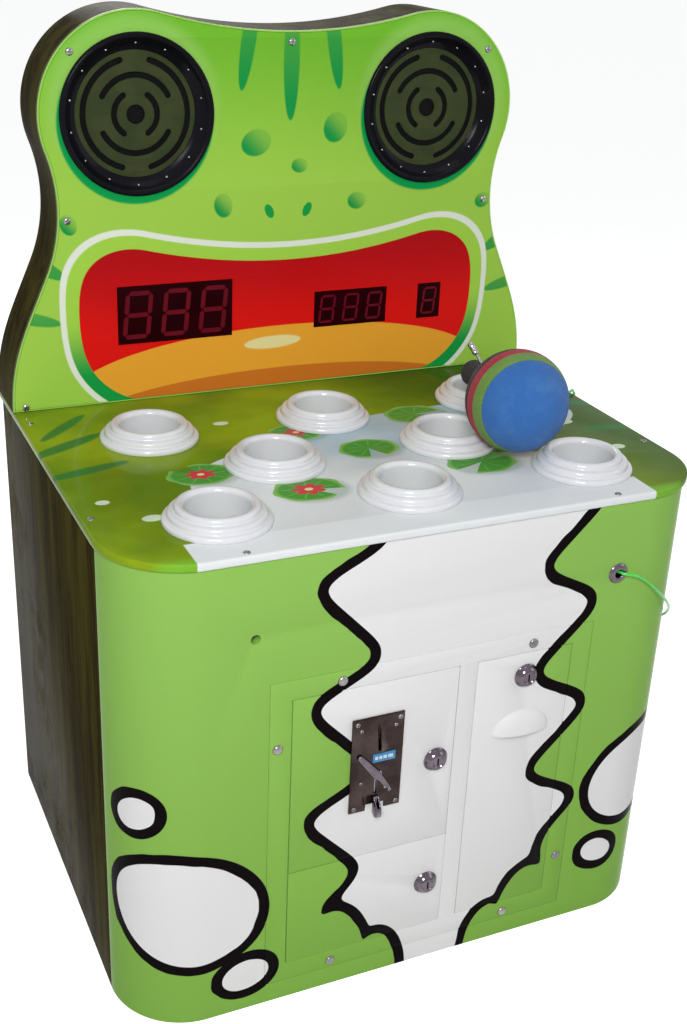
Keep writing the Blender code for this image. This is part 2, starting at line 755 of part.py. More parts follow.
def makeLock(name, x, z, camTurn):
    """A chrome plug whose dome stands on the door face and whose cam lies behind the door."""
    barrelEnd = frameDepth + camSetback + camThickness
    profile = [(lockRadius * wide, -lockDome * tall) for wide, tall in zip(lockRadiusShares, lockDomeShares)]
    profile += [(lockBarrelRadius, profile[-1][1]), (lockBarrelRadius, barrelEnd), (0, barrelEnd)]
    lock = addPiece(name, turned(profile, lockSides, facingBack(x, frontY, z)), mirrorChrome,
                    origin=(x, frontY, z), smoothAngle=math.radians(40))
    camFront = frontY + frameDepth + camSetback
    cam = box(-camHalfWidth, camLength, camFront, camFront + camThickness, -camHalfWidth, camHalfWidth)
    bmesh.ops.transform(cam, matrix=Matrix.Rotation(camTurn, 4, "Y"), verts=cam.verts)
    combine(lock, [cam], "UNION")
    combine(lock, [box(-keySlotWidth / 2, keySlotWidth / 2, frontY - lockDome - cutOverrun,
                       frontY - lockDome + keySlotDepth, -keySlotLength / 2, keySlotLength / 2)], "DIFFERENCE")
    for step in lock.modifiers:
        step.object.location = (x, 0, z)


def makeCoinUnit():
    face = frontY - gap - plateThickness
    back = frontY - gap
    half = plateWidth / 2
    tall = plateHeight / 2

    def rectangle(inset, depth):
        left, right = plateX - half + inset, plateX + half - inset
        low, high = plateZ - tall + inset, plateZ + tall - inset
        return [(left, depth, low), (right, depth, low), (right, depth, high), (left, depth, high)]

    plate = addPiece("coin_plate", stack([rectangle(0, back), rectangle(0, face + plateEdge),
                                          rectangle(plateEdge, face)]), darkChrome)
    seat = face + plateThickness / 2
    low = plateZ + funnelBottom
    high = plateZ + funnelTop
    base = [(plateX - funnelHalfWidth, seat, low), (plateX + funnelHalfWidth, seat, low),
            (plateX + funnelTopHalfWidth, seat, high), (plateX - funnelTopHalfWidth, seat, high)]
    crest = [(plateX - coinSlotWidth, face - funnelRise, low), (plateX + coinSlotWidth, face - funnelRise, low),
             (plateX + funnelTopHalfWidth / 2, face - funnelTopRise, high),
             (plateX - funnelTopHalfWidth / 2, face - funnelTopRise, high)]
    combine(plate, [stack([base, crest])], "UNION")
    ahead = face - funnelRise - cutOverrun
    coinSlot = [box(plateX - coinSlotWidth / 2, plateX + coinSlotWidth / 2, ahead, back + cutOverrun,
                    plateZ + coinSlotBottom, plateZ + coinSlotTop),
                box(plateX - viewSlotWidth / 2, plateX + viewSlotWidth / 2, ahead, back + cutOverrun,
                    plateZ + viewSlotBottom, plateZ + viewSlotTop),
                box(plateX - notchHalfWidth, plateX + notchHalfWidth, ahead, back + cutOverrun,
                    plateZ - tall - cutOverrun, plateZ - tall + notchHeight)]
    combine(plate, coinSlot, "DIFFERENCE")

    mechHalf = mechHeight / 2
    rear = frontY + mechDepth
    chuteRear = frontY + mechChuteDepth
    profile = [(frontY, plateZ - mechHalf), (frontY, plateZ + mechHalf), (rear, plateZ + mechHalf),
               (rear, plateZ - mechHalf + mechChuteHeight), (chuteRear, plateZ - mechHalf)]
    sides = [[(x, y, z) for y, z in profile] for x in (plateX - mechWidth / 2, plateX + mechWidth / 2)]
    mech = addPiece("coin_mech", stack(sides), zincSteel)
    combine(mech, [box(plateX - coinSlotWidth / 2, plateX + coinSlotWidth / 2, frontY - cutOverrun,
                       frontY + mechChuteDepth, plateZ + coinSlotBottom, plateZ + coinSlotTop)], "DIFFERENCE")

    pivot = Vector((plateX + leverX, face - gap, plateZ + leverZ))
    outline = leverOutline()
    addPiece("reject_lever", stack([[(pivot.x + x, pivot.y - depth, pivot.z + z) for x, z in outline]
                                    for depth in (0, leverThickness)]), mirrorChrome, origin=pivot)

    scoopFoot = plateZ + scoopTop
    side = [(face - gap, scoopFoot)]
    side += [(face - gap - scoopReach * reach, scoopFoot - scoopHeight * drop)
             for reach, drop in zip(scoopReachShares, scoopDropShares)]
    side += [(face - gap, scoopFoot - scoopHeight * scoopHeelShare)]
    scoop = addPiece("return_scoop", stack([[(plateX + x, y, z) for y, z in side]
                                            for x in (-scoopHalfWidth, scoopHalfWidth)]), darkChrome)
    combine(scoop, [box(plateX - scoopSlotHalfWidth, plateX + scoopSlotHalfWidth, face - scoopReach + scoopWall,
                        face - gap - scoopWall, scoopFoot - scoopHeight + 2 * scoopWall, scoopFoot + cutOverrun)],
            "DIFFERENCE")


def leverOutline():
    """Two tapered arms on a round hub, as the outline round three circles."""
    left = Vector((leverLeftX - leverX, leverLeftZ - leverZ))
    right = Vector((leverRightX - leverX, leverRightZ - leverZ))
    leftAngle = math.atan2(left.y, left.x)
    rightAngle = math.atan2(right.y, right.x)
    quarter = math.pi / 2
    outline = arc(left.x, left.y, leverLeftRadius, leftAngle - quarter, leftAngle + quarter, leverSides // 2)
    outline += arc(0, 0, leverHubRadius, leftAngle + quarter, rightAngle + 2 * math.pi - quarter, 2)
    outline += arc(right.x, right.y, leverRightRadius, rightAngle - quarter, rightAngle + quarter, leverSides // 2)
    outline += arc(0, 0, leverHubRadius, rightAngle + quarter, leftAngle - quarter, 2)
    return outline


def makeCashBox():
    front = frontY + cashBoxSetback
    back = front + cashBoxDepth
    low = boardThickness + gap
    high = low + cashBoxHeight
    cashBox = addPiece("cash_box", box(cashBoxLeft, cashBoxRight, front, back, low, high), zincSteel)
    combine(cashBox, [box(cashBoxLeft + cashBoxWall, cashBoxRight - cashBoxWall, front + cashBoxWall,
                          back - cashBoxWall, low + cashBoxWall, high + cutOverrun)], "DIFFERENCE")


def makeEyelet():
    barrelEnd = boardThickness + eyeletRise
    profile = [(eyeletBoreRadius, barrelEnd), (eyeletBoreRadius, -eyeletRise / 2), (eyeletBarrelRadius, -eyeletRise),
               (eyeletRadius - eyeletRise, -eyeletRise), (eyeletRadius, -gap), (eyeletBarrelRadius, -gap),
               (eyeletBarrelRadius, barrelEnd)]
    addPiece("eyelet", turned(profile, eyeletSides, facingBack(eyeletX, frontY, eyeletZ), ring=True), mirrorChrome,
             smoothAngle=math.radians(50))


def makeHeadboard():
    outer = headOutlineAtFoot(0, gap)
    wall = headOutlineAtFoot(headWall, gap)
    rimFront = headFaceY + headFaceThickness + gap
    addPiece("headboard_shell", stack([atDepth(outer, backY), atDepth(outer, rimFront), atDepth(wall, rimFront),
                                       atDepth(wall, backY - headWall)]), darkLaminate, smoothAngle=smoothAngle)

    faceOutline = headOutlineAtFoot(trimWidth, gap)
    face = addPiece("headboard_face", stack([atDepth(faceOutline, headFaceY),
                                             atDepth(faceOutline, headFaceY + headFaceThickness)]), greenPrint)
    ahead = headFaceY - cutOverrun
    behind = headFaceY + headFaceThickness + cutOverrun
    cutters = [rod(eyeHoleRadius, Vector((x, ahead, deckTop + bumpZ)), Vector((x, behind, deckTop + bumpZ)), eyeSides)
               for x in (-bumpX, bumpX)]
    for left, right, low, high in displayWindows.values():
        cutters.append(box(left - gap, right + gap, ahead, behind, deckTop + low - gap, deckTop + high + gap))
    combine(face, cutters, "DIFFERENCE")


def arcSlot(radius, width, middle, halfSpan, steps):
    """The outline of a curved slot with round ends, about the grille's centre."""
    start = middle - halfSpan
    end = middle + halfSpan
    half = width / 2
    outline = arc(0, 0, radius + half, start, end, steps)
    outline += arc(radius * math.cos(end), radius * math.sin(end), half, end, end + math.pi, 4)[1:-1]
    outline += arc(0, 0, radius - half, end, start, steps)
    outline += arc(radius * math.cos(start), radius * math.sin(start), half, start + math.pi, start + 2 * math.pi,
                   4)[1:-1]
    return outline


def makeEyes():
    for name, x in (("left", -bumpX), ("right", bumpX)):
        place = facingBack(x, headFaceY, deckTop + bumpZ)
        profile = [(eyeRadius * wide, bezelDepth * deep) for wide, deep in zip(bezelRadiusShares, bezelDepthShares)]
        addPiece(f"{name}_eye_bezel", turned(profile, eyeSides, place, ring=True), blackPlastic,
                 smoothAngle=smoothAngle)

        seatRadius = eyeRadius * bezelRadiusShares[4] - gap
        grilleBack = grilleFront + grilleThickness
        disc = [(0, grilleFront), (seatRadius, grilleFront), (seatRadius, grilleBack), (0, grilleBack)]
        grille = addPiece(f"{name}_eye_grille", turned(disc, eyeSides, place), grillePaint)
        cutters = [rod(eyeRadius * grilleHoleShare, Vector((x, headFaceY, deckTop + bumpZ)),
                       Vector((x, headFaceY + grilleBack + cutOverrun, deckTop + bumpZ)), eyeSides // 2)]
        for radiusShare, middle, halfSpan in grilleArcShares:
            outline = arcSlot(eyeRadius * radiusShare, eyeRadius * slotWidthShare, math.radians(middle),
                              math.radians(halfSpan), slotSteps)
            placed = [(x + across, deckTop + bumpZ + up) for across, up in outline]
            cutters.append(stack([atDepth(placed, headFaceY), atDepth(placed, headFaceY + grilleBack + cutOverrun)]))
        combine(grille, cutters, "DIFFERENCE")

        seat = bezelDepth + gap
        cone = [(0, seat), (speakerRadius, seat), (speakerRadius, seat + speakerFlange),
                (magnetRadius, seat + speakerDepth * speakerNeckShare), (magnetRadius, seat + speakerDepth),
                (0, seat + speakerDepth)]
        addPiece(f"{name}_speaker", turned(cone, speakerSides, place), speakerPaper, smoothAngle=smoothAngle)


def makeDisplays():
    boardFront = headFaceY + headFaceThickness + gap
    for name, (left, right, low, high) in displayWindows.items():
        def window(spread, depth):
            corners = [(left - spread, low - spread), (right + spread, low - spread),
                       (right + spread, high + spread), (left - spread, high + spread)]
            return [(x, depth, deckTop + z) for x, z in corners]

        addPiece(name, stack([window(0, headFaceY - displayProud), window(0, boardFront),
                              window(displayFlange, boardFront),
                              window(displayFlange, boardFront + displayBoardDepth)]), displayAcrylic)


def makeElectronics():
    standoffRoot = backY - innerInset
    boardBack = standoffRoot - standoffLength
    boardFront = boardBack - mainBoardThickness
    left = mainBoardX - mainBoardWidth / 2
    right = mainBoardX + mainBoardWidth / 2
    low = mainBoardZ - mainBoardHeight / 2
    high = mainBoardZ + mainBoardHeight / 2
    board = addPiece("main_board", box(left, right, boardFront, boardBack, low, high), circuitBoard)
    half = standoffSize / 2
    middle = (boardFront + boardBack) / 2
    extras = []
    for x in (left + standoffInset, right - standoffInset):
        for z in (low + standoffInset, high - standoffInset):
            extras.append(box(x - half, x + half, middle, standoffRoot, z - half, z + half))
    for acrossShare, upShare, wideShare, tallShare in chipShares:
        chipLeft = left + mainBoardWidth * acrossShare
        chipLow = low + mainBoardHeight * upShare
        extras.append(box(chipLeft, chipLeft + mainBoardWidth * wideShare, boardFront - chipHeight, middle,
                          chipLow, chipLow + mainBoardHeight * tallShare))
    combine(board, extras, "UNION")

    base = boardThickness + gap
    folded = [(supplyX - supplyWidth / 2, base), (supplyX + supplyWidth / 2, base),
              (supplyX + supplyWidth / 2, base + supplyHeight - supplyFoldWidth),
              (supplyX + supplyWidth / 2 - supplyFoldWidth, base + supplyHeight),
              (supplyX - supplyWidth / 2 + supplyFoldWidth, base + supplyHeight),
              (supplyX - supplyWidth / 2, base + supplyHeight - supplyFoldWidth)]
    addPiece("power_supply", stack([atDepth(folded, supplyY - supplyDepth / 2),
                                    atDepth(folded, supplyY + supplyDepth / 2)]), zincSteel)

    def inletRing(width, height, depth):
        return [(inletX - width / 2, depth, inletZ - height / 2), (inletX + width / 2, depth, inletZ - height / 2),
                (inletX + width / 2, depth, inletZ + height / 2), (inletX - width / 2, depth, inletZ + height / 2)]

    flangeBack = backY + gap
    outside = flangeBack + inletFlangeThickness
    addPiece("power_inlet", stack([inletRing(inletBodyWidth, inletBodyHeight, backY - inletBodyDepth),
                                   inletRing(inletBodyWidth, inletBodyHeight, flangeBack),
                                   inletRing(inletFlangeWidth, inletFlangeHeight, flangeBack),
                                   inletRing(inletFlangeWidth, inletFlangeHeight, outside),
                                   inletRing(inletSocketWidth, inletSocketHeight, outside),
                                   inletRing(inletSocketWidth, inletSocketHeight, outside - inletSocketDepth)]),
             blackPlastic)


def restingHeight(x, y):
    """How high the ball's centre lies over the deck where it rests on the rings beside it."""
    heights = [ballRadius]
    for holeX, holeY in holes:
        away = math.hypot(x - holeX, y - holeY)
        for wide, tall in zip(ringRadiusShares, ringHeightShares):
            reach = away - ringRadius * wide
            if abs(reach) < ballRadius:
                heights.append(ringHeight * tall + math.sqrt(ballRadius ** 2 - reach ** 2))
    return max(heights) + gap


ballX = holePitchX / 2 * (1 + ballColumnShare)
ballY = frontRowY + holePitchY * ballRowShare
ballCenter = Vector((ballX, ballY, deckTop + restingHeight(ballX, ballY)))
ballPlace = alongLine(ballCenter, gripDirection)


def ballArc(start, end, steps):
    """Points on the ball's surface, by angle from the pole that faces away from the grip."""
    angles = [start + (end - start) * step / steps for step in range(steps + 1)]
    return [(ballRadius * math.sin(a), -ballRadius * math.cos(a)) for a in angles]


def makeHammer():
    boreRadius = coreRadius + coreGap
    blueEnd = -ballRadius * math.cos(blueEndAngle)
    greenEnd = -ballRadius * math.cos(greenEndAngle)
    redEnd = -ballRadius * math.cos(redEndAngle)
    coreEnd = blueEnd - ballRadius * coreDepthShare / 2

    blue = [(0, -ballRadius)] + ballArc(0, blueEndAngle, blueSteps)[1:]
    blue += [(boreRadius, blueEnd), (boreRadius, coreEnd - gap), (0, coreEnd - gap)]
    addPiece("foam_blue", turned(blue, foamSides, ballPlace), blueFoam, origin=ballCenter,
             smoothAngle=smoothAngle)
    for name, start, end, surface in (("foam_green", blueEndAngle, greenEndAngle, greenFoam),
                                      ("foam_red", greenEndAngle, redEndAngle, redFoam)):
        edge = ballArc(start, end, layerSteps)
        edge[0] = (edge[0][0], edge[0][1] + gap)
        layer = [(boreRadius, edge[0][1])] + edge + [(boreRadius, edge[-1][1])]
        addPiece(name, turned(layer, foamSides, ballPlace, ring=True), surface, origin=ballCenter,
                 smoothAngle=smoothAngle)

    gripAngle = math.pi - math.asin(gripRadius / ballRadius)
    black = ballArc(redEndAngle, gripAngle, blackSteps)
    black[0] = (black[0][0], redEnd + gap)
    profile = [(0, coreEnd), (coreRadius, coreEnd), (coreRadius, redEnd + gap)] + black
    profile += [(gripRadius, gripReach - gripRound), (gripRadius - gripRound, gripReach), (0, gripReach)]
    addPiece("hammer_grip", turned(profile, foamSides, ballPlace), blackFoam, origin=ballCenter,
             smoothAngle=smoothAngle)

    foot = ballCenter + neckFoot
    tip = ballCenter + ferruleTip
    onAxis = ballCenter + gripDirection * neckFootReach
    start = onAxis + (foot - onAxis) / 2
    reach = (tip - start).length
    sleeve = [(0, 0), (neckRadius, 0), (neckRadius, reach - ferruleLength),
              (ferruleRadius, reach - ferruleLength + ferruleEdge), (ferruleRadius, reach - ferruleEdge),
              (ferruleRadius - ferruleEdge, reach), (0, reach)]
    ferrule = addPiece("tether_ferrule", turned(sleeve, ferruleSides, alongLine(start, tip - start)), mirrorChrome,
                       smoothAngle=smoothAngle)
    combine(ferrule, [rod(gripRadius + gap, ballCenter, ballCenter + gripDirection * gripReach, foamSides * 2)],
            "DIFFERENCE")


# Tether route by hand: x, distance behind the front face, height above the floor
tetherRoute = [
    (0.2380, 0.016, 0.5050), (0.2382, 0.004, 0.5052), (0.2405, -0.0045, 0.5058), (0.2480, -0.0078, 0.5048),
    (0.2620, -0.0076, 0.4995), (0.2785, -0.0068, 0.4875), (0.2960, -0.0045, 0.4715), (0.3190, 0.0065, 0.4500),
    (0.3440, 0.0290, 0.4230), (0.3595, 0.0590, 0.3950), (0.3660, 0.1080, 0.3640), (0.3670, 0.1680, 0.3440),
    (0.3670, 0.2260, 0.3560), (0.3675, 0.2700, 0.4060), (0.3680, 0.2960, 0.4760), (0.3690, 0.3120, 0.5450),
    (0.3705, 0.3190, 0.5900), (0.3690, 0.3195, 0.6055), (0.3635, 0.3160, 0.6103), (0.3500, 0.3090, 0.6086),
    (0.3250, 0.2960, 0.6082), (0.3000, 0.2820, 0.6082), (0.2750, 0.2690, 0.6082), (0.2480, 0.2590, 0.6083),
    (0.2240, 0.2560, 0.6092), (0.2050, 0.2570, 0.6140), (0.1920, 0.2590, 0.6250), (0.1868, 0.2608, 0.6360),
]


def makeTether():
    reach = ballCenter + gripDirection * neckFootReach
    down = (Vector((0, 0, -1)) - gripDirection * gripDirection.dot(Vector((0, 0, -1)))).normalized()
    exitPoint = reach + down * (gripRadius + gap + tetherRadius / 20)
    points = [Vector((x, frontY + y, z)) for x, y, z in tetherRoute]
    points += [exitPoint + down * tetherRadius, exitPoint]
    curve = bpy.data.curves.new("tether", "CURVE")
    curve.dimensions = "3D"
    curve.bevel_depth = tetherRadius
    curve.bevel_resolution = 2
    curve.use_fill_caps = True
    line = curve.splines.new("POLY")
    route = smoothRoute(points, tetherSteps)
    line.points.add(len(route) - 1)
    for place, point in zip(line.points, route):
        place.co = (*point, 1)
    tether = bpy.data.objects.new("tether", curve)
    curve.materials.append(greenRope)
    bpy.context.collection.objects.link(tether)


def smoothRoute(points, count):
    """Evenly spaced points on a Catmull-Rom curve through the route."""
    fine = []
    padded = [points[0] * 2 - points[1]] + points + [points[-1] * 2 - points[-2]]
    for here in range(1, len(padded) - 2):
        p0, p1, p2, p3 = padded[here - 1:here + 3]
        for step in range(12):
            t = step / 12
            fine.append(0.5 * (2 * p1 + (p2 - p0) * t + (2 * p0 - 5 * p1 + 4 * p2 - p3) * t * t
                               + (3 * p1 - p0 - 3 * p2 + p3) * t ** 3))
    fine.append(points[-1])
    lengths = [0]
    for before, after in zip(fine, fine[1:]):
        lengths.append(lengths[-1] + (after - before).length)
    print("tether length", round(lengths[-1], 3))
    route = []
    place = 0
    for step in range(count):
        target = lengths[-1] * step / (count - 1)
        while place < len(lengths) - 2 and lengths[place + 1] < target:
            place += 1
        share = (target - lengths[place]) / (lengths[place + 1] - lengths[place])
        route.append(fine[place].lerp(fine[place + 1], share))
    return route


makeCabinet()
makeDeck()
makeRingsAndTargets()
makeDrives()
makeDoorFrame()
makeDoors()
makeLock("coin_lock", coinLockX, coinLockZ, math.pi / 2)
makeLock("cash_lock", cashLockX, cashLockZ, math.pi / 2)
makeLock("service_lock", serviceLockX, serviceLockZ, 0)
makeCoinUnit()
makeCashBox()
makeEyelet()
makeHeadboard()
makeEyes()
makeDisplays()
makeElectronics()
makeHammer()
makeTether()
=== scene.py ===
# Looks of the hammer arcade machine: print, finishes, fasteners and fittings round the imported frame.
# Metres, +Z up, the front faces -Y and the origin is on the floor under the cabinet's middle.
import math

import bmesh
import bpy
from mathutils import Matrix, Vector


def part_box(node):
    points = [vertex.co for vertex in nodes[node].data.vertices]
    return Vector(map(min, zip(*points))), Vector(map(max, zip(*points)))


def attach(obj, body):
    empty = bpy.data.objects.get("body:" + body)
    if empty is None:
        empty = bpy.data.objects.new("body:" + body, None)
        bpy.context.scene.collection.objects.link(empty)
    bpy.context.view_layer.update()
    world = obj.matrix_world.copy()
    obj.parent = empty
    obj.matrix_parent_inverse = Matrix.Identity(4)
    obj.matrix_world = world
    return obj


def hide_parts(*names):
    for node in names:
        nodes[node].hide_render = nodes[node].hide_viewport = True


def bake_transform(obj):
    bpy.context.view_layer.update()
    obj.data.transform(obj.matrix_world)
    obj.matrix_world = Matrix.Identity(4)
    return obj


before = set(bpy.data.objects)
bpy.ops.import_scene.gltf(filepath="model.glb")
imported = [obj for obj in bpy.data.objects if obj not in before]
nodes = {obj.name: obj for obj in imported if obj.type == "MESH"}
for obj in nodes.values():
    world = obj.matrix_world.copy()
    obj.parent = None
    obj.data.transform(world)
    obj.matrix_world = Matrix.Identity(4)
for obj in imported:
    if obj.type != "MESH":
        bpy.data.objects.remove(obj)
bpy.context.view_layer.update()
print("frame loaded")

# Places that the pieces share with the solids
cabinet = {"halfWidth": 0.360, "front": -0.2795, "back": 0.2795, "corner": 0.092, "panelTop": 0.5957,
           "board": 0.015, "deckLow": 0.596, "deckTop": 0.606, "overhang": 0.004, "gap": 0.0003}
cornerX = cabinet["halfWidth"] - cabinet["corner"]
cornerY = cabinet["front"] + cabinet["corner"]
deckTop = cabinet["deckTop"]
holeRows = [(-0.1935, (-0.228, 0.0, 0.228)), (-0.0695, (-0.114, 0.114)), (0.0545, (-0.228, 0.0, 0.228))]
holes = [(x, y) for y, columns in holeRows for x in columns]
head = {"face": 0.1865, "thick": 0.009, "halfBase": 0.364, "bumpX": 0.1955, "bumpZ": 0.358, "bump": 0.120,
        "waist": 0.200, "waistAngle": -19.6, "waistLow": 203.5, "dip": 0.675, "trim": 0.0025, "wall": 0.012}
eyeRadius = 0.095
windows = [(-0.227, -0.0756, 0.077, 0.151), (0.041, 0.1464, 0.077, 0.125), (0.195, 0.229, 0.077, 0.125)]


# Camera, light and floor
cameraSet = {"place": (-0.6599, -1.4255, 1.2195), "turn": 0.4391, "tilt": 0.4307, "roll": -0.0449,
             "lens": 71.09}
lampSet = [
    # name, place, aim, size, power
    ("key", (-0.95, -1.88, 1.80), (0, 0, 0.60), 0.8, 38),
    ("side", (2.3, -1.2, 1.6), (0.1, 0, 0.5), 1.3, 7),
    ("top", (0.1, -0.5, 3.0), (0, 0, 0.6), 1.2, 5),
    ("rear", (0.4, 2.4, 2.0), (0, 0, 0.6), 1.4, 24),
]
stageSet = {"ambient": (0.80, 0.82, 0.85), "ambientStrength": 0.33, "floorColor": (0.80, 0.80, 0.79),
            "floorGlow": 0.74, "floorReach": 60}


def makeCamera():
    turn, tilt, roll = cameraSet["turn"], cameraSet["tilt"], cameraSet["roll"]
    ahead = Vector((math.sin(turn) * math.cos(tilt), math.cos(turn) * math.cos(tilt), -math.sin(tilt)))
    right = Vector((math.cos(turn), -math.sin(turn), 0))
    down = ahead.cross(right)
    across = math.cos(roll) * right + math.sin(roll) * down
    below = math.cos(roll) * down - math.sin(roll) * right
    lens = bpy.data.cameras.new("photoCamera")
    lens.lens = cameraSet["lens"]
    lens.sensor_fit = "HORIZONTAL"
    lens.sensor_width = 36
    lens.clip_end = 200
    camera = bpy.data.objects.new("photoCamera", lens)
    axes = Matrix((across, -below, -ahead)).transposed().to_4x4()
    camera.matrix_world = Matrix.Translation(cameraSet["place"]) @ axes
    bpy.context.collection.objects.link(camera)
    bpy.context.scene.camera = camera
    bpy.context.scene.view_settings.view_transform = "Standard"


def makeLamps():
    for name, place, aim, size, power in lampSet:
        light = bpy.data.lights.new(name, "AREA")
        light.shape = "DISK"
        light.size = size
        light.energy = power
        lamp = bpy.data.objects.new(name, light)
        lamp.location = place
        lamp.rotation_euler = (Vector(aim) - Vector(place)).to_track_quat("-Z", "Y").to_euler()
        bpy.context.collection.objects.link(lamp)


# 1 for rays that see the background: from the camera, in a reflection or through glass
def seenDirectly(tree):
    path = addNode(tree, "ShaderNodeLightPath")
    both = calc("MAXIMUM", path["Is Camera Ray"], path["Is Glossy Ray"])
    return calc("MAXIMUM", both, path["Is Transmission Ray"])


def makeWorld():
    world = bpy.data.worlds.new("studio")
    bpy.context.scene.world = world
    world.use_nodes = True
    tree = world.node_tree
    tree.nodes.clear()
    ambient = addNode(tree, "ShaderNodeBackground", {
        "Color": stageSet["ambient"], "Strength": stageSet["ambientStrength"]})["Background"]
    backdrop = addNode(tree, "ShaderNodeBackground", {"Color": (1, 1, 1)})["Background"]
    mixed = addNode(tree, "ShaderNodeMixShader", {0: seenDirectly(tree), 1: ambient, 2: backdrop})["Shader"]
    addNode(tree, "ShaderNodeOutputWorld", {"Surface": mixed})


def makeFloor():
    surface, shader = startMaterial("paleFloor")
    glow = seenDirectly(shader.id_data) * stageSet["floorGlow"]
    setInputs(shader, {
        "Base Color": stageSet["floorColor"], "Roughness": 0.9, "Specular IOR Level": 0.0,
        "Emission Color": (1, 1, 1), "Emission Strength": glow})
    reach = stageSet["floorReach"]
    mesh = bpy.data.meshes.new("floor")
    corners = [(x, y, 0) for x, y in rectangle(-reach, reach, -reach, reach)]
    mesh.from_pydata(corners, [], [(0, 1, 2, 3)])
    mesh.materials.append(surface)
    floor = bpy.data.objects.new("floor", mesh)
    bpy.context.collection.objects.link(floor)


# Node helpers

# A node's output; each sum, product or the like of it makes a Math node
class Value:
    def __init__(self, socket):
        self.socket = socket
        self.tree = socket.id_data

    def __add__(self, other):
        return calc("ADD", self, other)

    def __radd__(self, other):
        return calc("ADD", other, self)

    def __sub__(self, other):
        return calc("SUBTRACT", self, other)

    def __rsub__(self, other):
        return calc("SUBTRACT", other, self)

    def __mul__(self, other):
        return calc("MULTIPLY", self, other)

    def __rmul__(self, other):
        return calc("MULTIPLY", other, self)

    def __truediv__(self, other):
        return calc("DIVIDE", self, other)

    def __rtruediv__(self, other):
        return calc("DIVIDE", other, self)

    def __abs__(self):
        return calc("ABSOLUTE", self)


# Sets a socket to a number or colour, or links it
def feed(socket, value):
    if isinstance(value, Value):
        value.tree.links.new(value.socket, socket)
    elif isinstance(value, (tuple, list)) and len(value) == 3 and socket.type == "RGBA":
        socket.default_value = (*value, 1)
    else:
        socket.default_value = value


# Feeds a node's inputs, which are named or numbered
def setInputs(node, values):
    for key, value in values.items():
        if isinstance(key, int):
            socket = node.inputs[key]
        else:
            socket = next(socket for socket in node.inputs if socket.enabled and socket.name == key)
        feed(socket, value)


# Adds a node with its inputs and properties, and returns its outputs by name
def addNode(tree, kind, inputs=None, **properties):
    node = tree.nodes.new(kind)
    for name, value in properties.items():
        setattr(node, name, value)
    setInputs(node, inputs or {})
    return {socket.name: Value(socket) for socket in node.outputs if socket.enabled}


def calc(operation, *values):
    tree = next(value.tree for value in values if isinstance(value, Value))
    return addNode(tree, "ShaderNodeMath", dict(enumerate(values)), operation=operation)["Value"]


def length2(first, second):
    return calc("SQRT", first * first + second * second)


# A clamped smooth step from one level to another
def ramp(value, low, high, toLow=0.0, toHigh=1.0):
    levels = {"Value": value, "From Min": low, "From Max": high, "To Min": toLow, "To Max": toHigh}
    return addNode(value.tree, "ShaderNodeMapRange", levels, interpolation_type="SMOOTHSTEP")["Result"]


def blendColor(factor, first, second):
    node = factor.tree.nodes.new("ShaderNodeMix")
    node.data_type = "RGBA"
    setInputs(node, {0: factor, 6: first, 7: second})
    return Value(node.outputs[2])


# Noise on a vector, stretched along its axes where asked
def noise(vector, scale, detail=2.0, rough=0.5, stretch=None):
    if stretch:
        vector = addNode(vector.tree, "ShaderNodeMapping", {"Vector": vector, "Scale": stretch})["Vector"]
    settings = {"Vector": vector, "Scale": scale, "Detail": detail, "Roughness": rough}
    return addNode(vector.tree, "ShaderNodeTexNoise", settings)["Fac"]


# Object coordinates as a vector and as three numbers
def objectPlace(tree):
    vector = addNode(tree, "ShaderNodeTexCoord")["Object"]
    parts = addNode(tree, "ShaderNodeSeparateXYZ", {0: vector})
    return vector, parts["X"], parts["Y"], parts["Z"]


# An empty shader group, with its given values and its result sockets; a default of None means a vector
def makeGroup(name, inputs, outputs):
    group = bpy.data.node_groups.new(name, "ShaderNodeTree")
    for label, default in inputs.items():
        kind = "NodeSocketVector" if default is None else "NodeSocketFloat"
        socket = group.interface.new_socket(label, in_out="INPUT", socket_type=kind)
        if default is not None:
            socket.default_value = default
    for label in outputs:
        group.interface.new_socket(label, in_out="OUTPUT", socket_type="NodeSocketFloat")
    return group, addNode(group, "NodeGroupInput"), group.nodes.new("NodeGroupOutput").inputs


# Places a group; a keyword such as centerU sets the input named Center U
def useGroup(group, **values):
    tree = next(value.tree for value in values.values() if isinstance(value, Value))
    inputs = {}
    for key, value in values.items():
        rest = "".join(" " + letter if letter.isupper() else letter for letter in key[1:])
        inputs[key[0].upper() + rest] = value
    return addNode(tree, "ShaderNodeGroup", inputs, node_tree=group)


# Shared effects

# Signed distance to a turned oval, below zero inside
def makeOvalGroup():
    group, given, result = makeGroup("ovalDistance", {
        "U": 0.0, "V": 0.0, "Center U": 0.0, "Center V": 0.0, "Radius U": 0.1, "Radius V": 0.1, "Turn": 0.0},
        ["Distance"])
    across = given["U"] - given["Center U"]
    up = given["V"] - given["Center V"]
    cosine = calc("COSINE", given["Turn"])
    sine = calc("SINE", given["Turn"])
    first = (across * cosine + up * sine) / given["Radius U"]
    second = (up * cosine - across * sine) / given["Radius V"]
    share = length2(first, second)
    slope = length2(first / given["Radius U"], second / given["Radius V"])
    feed(result["Distance"], share * (share - 1.0) / calc("MAXIMUM", slope, 0.000001))
    return group


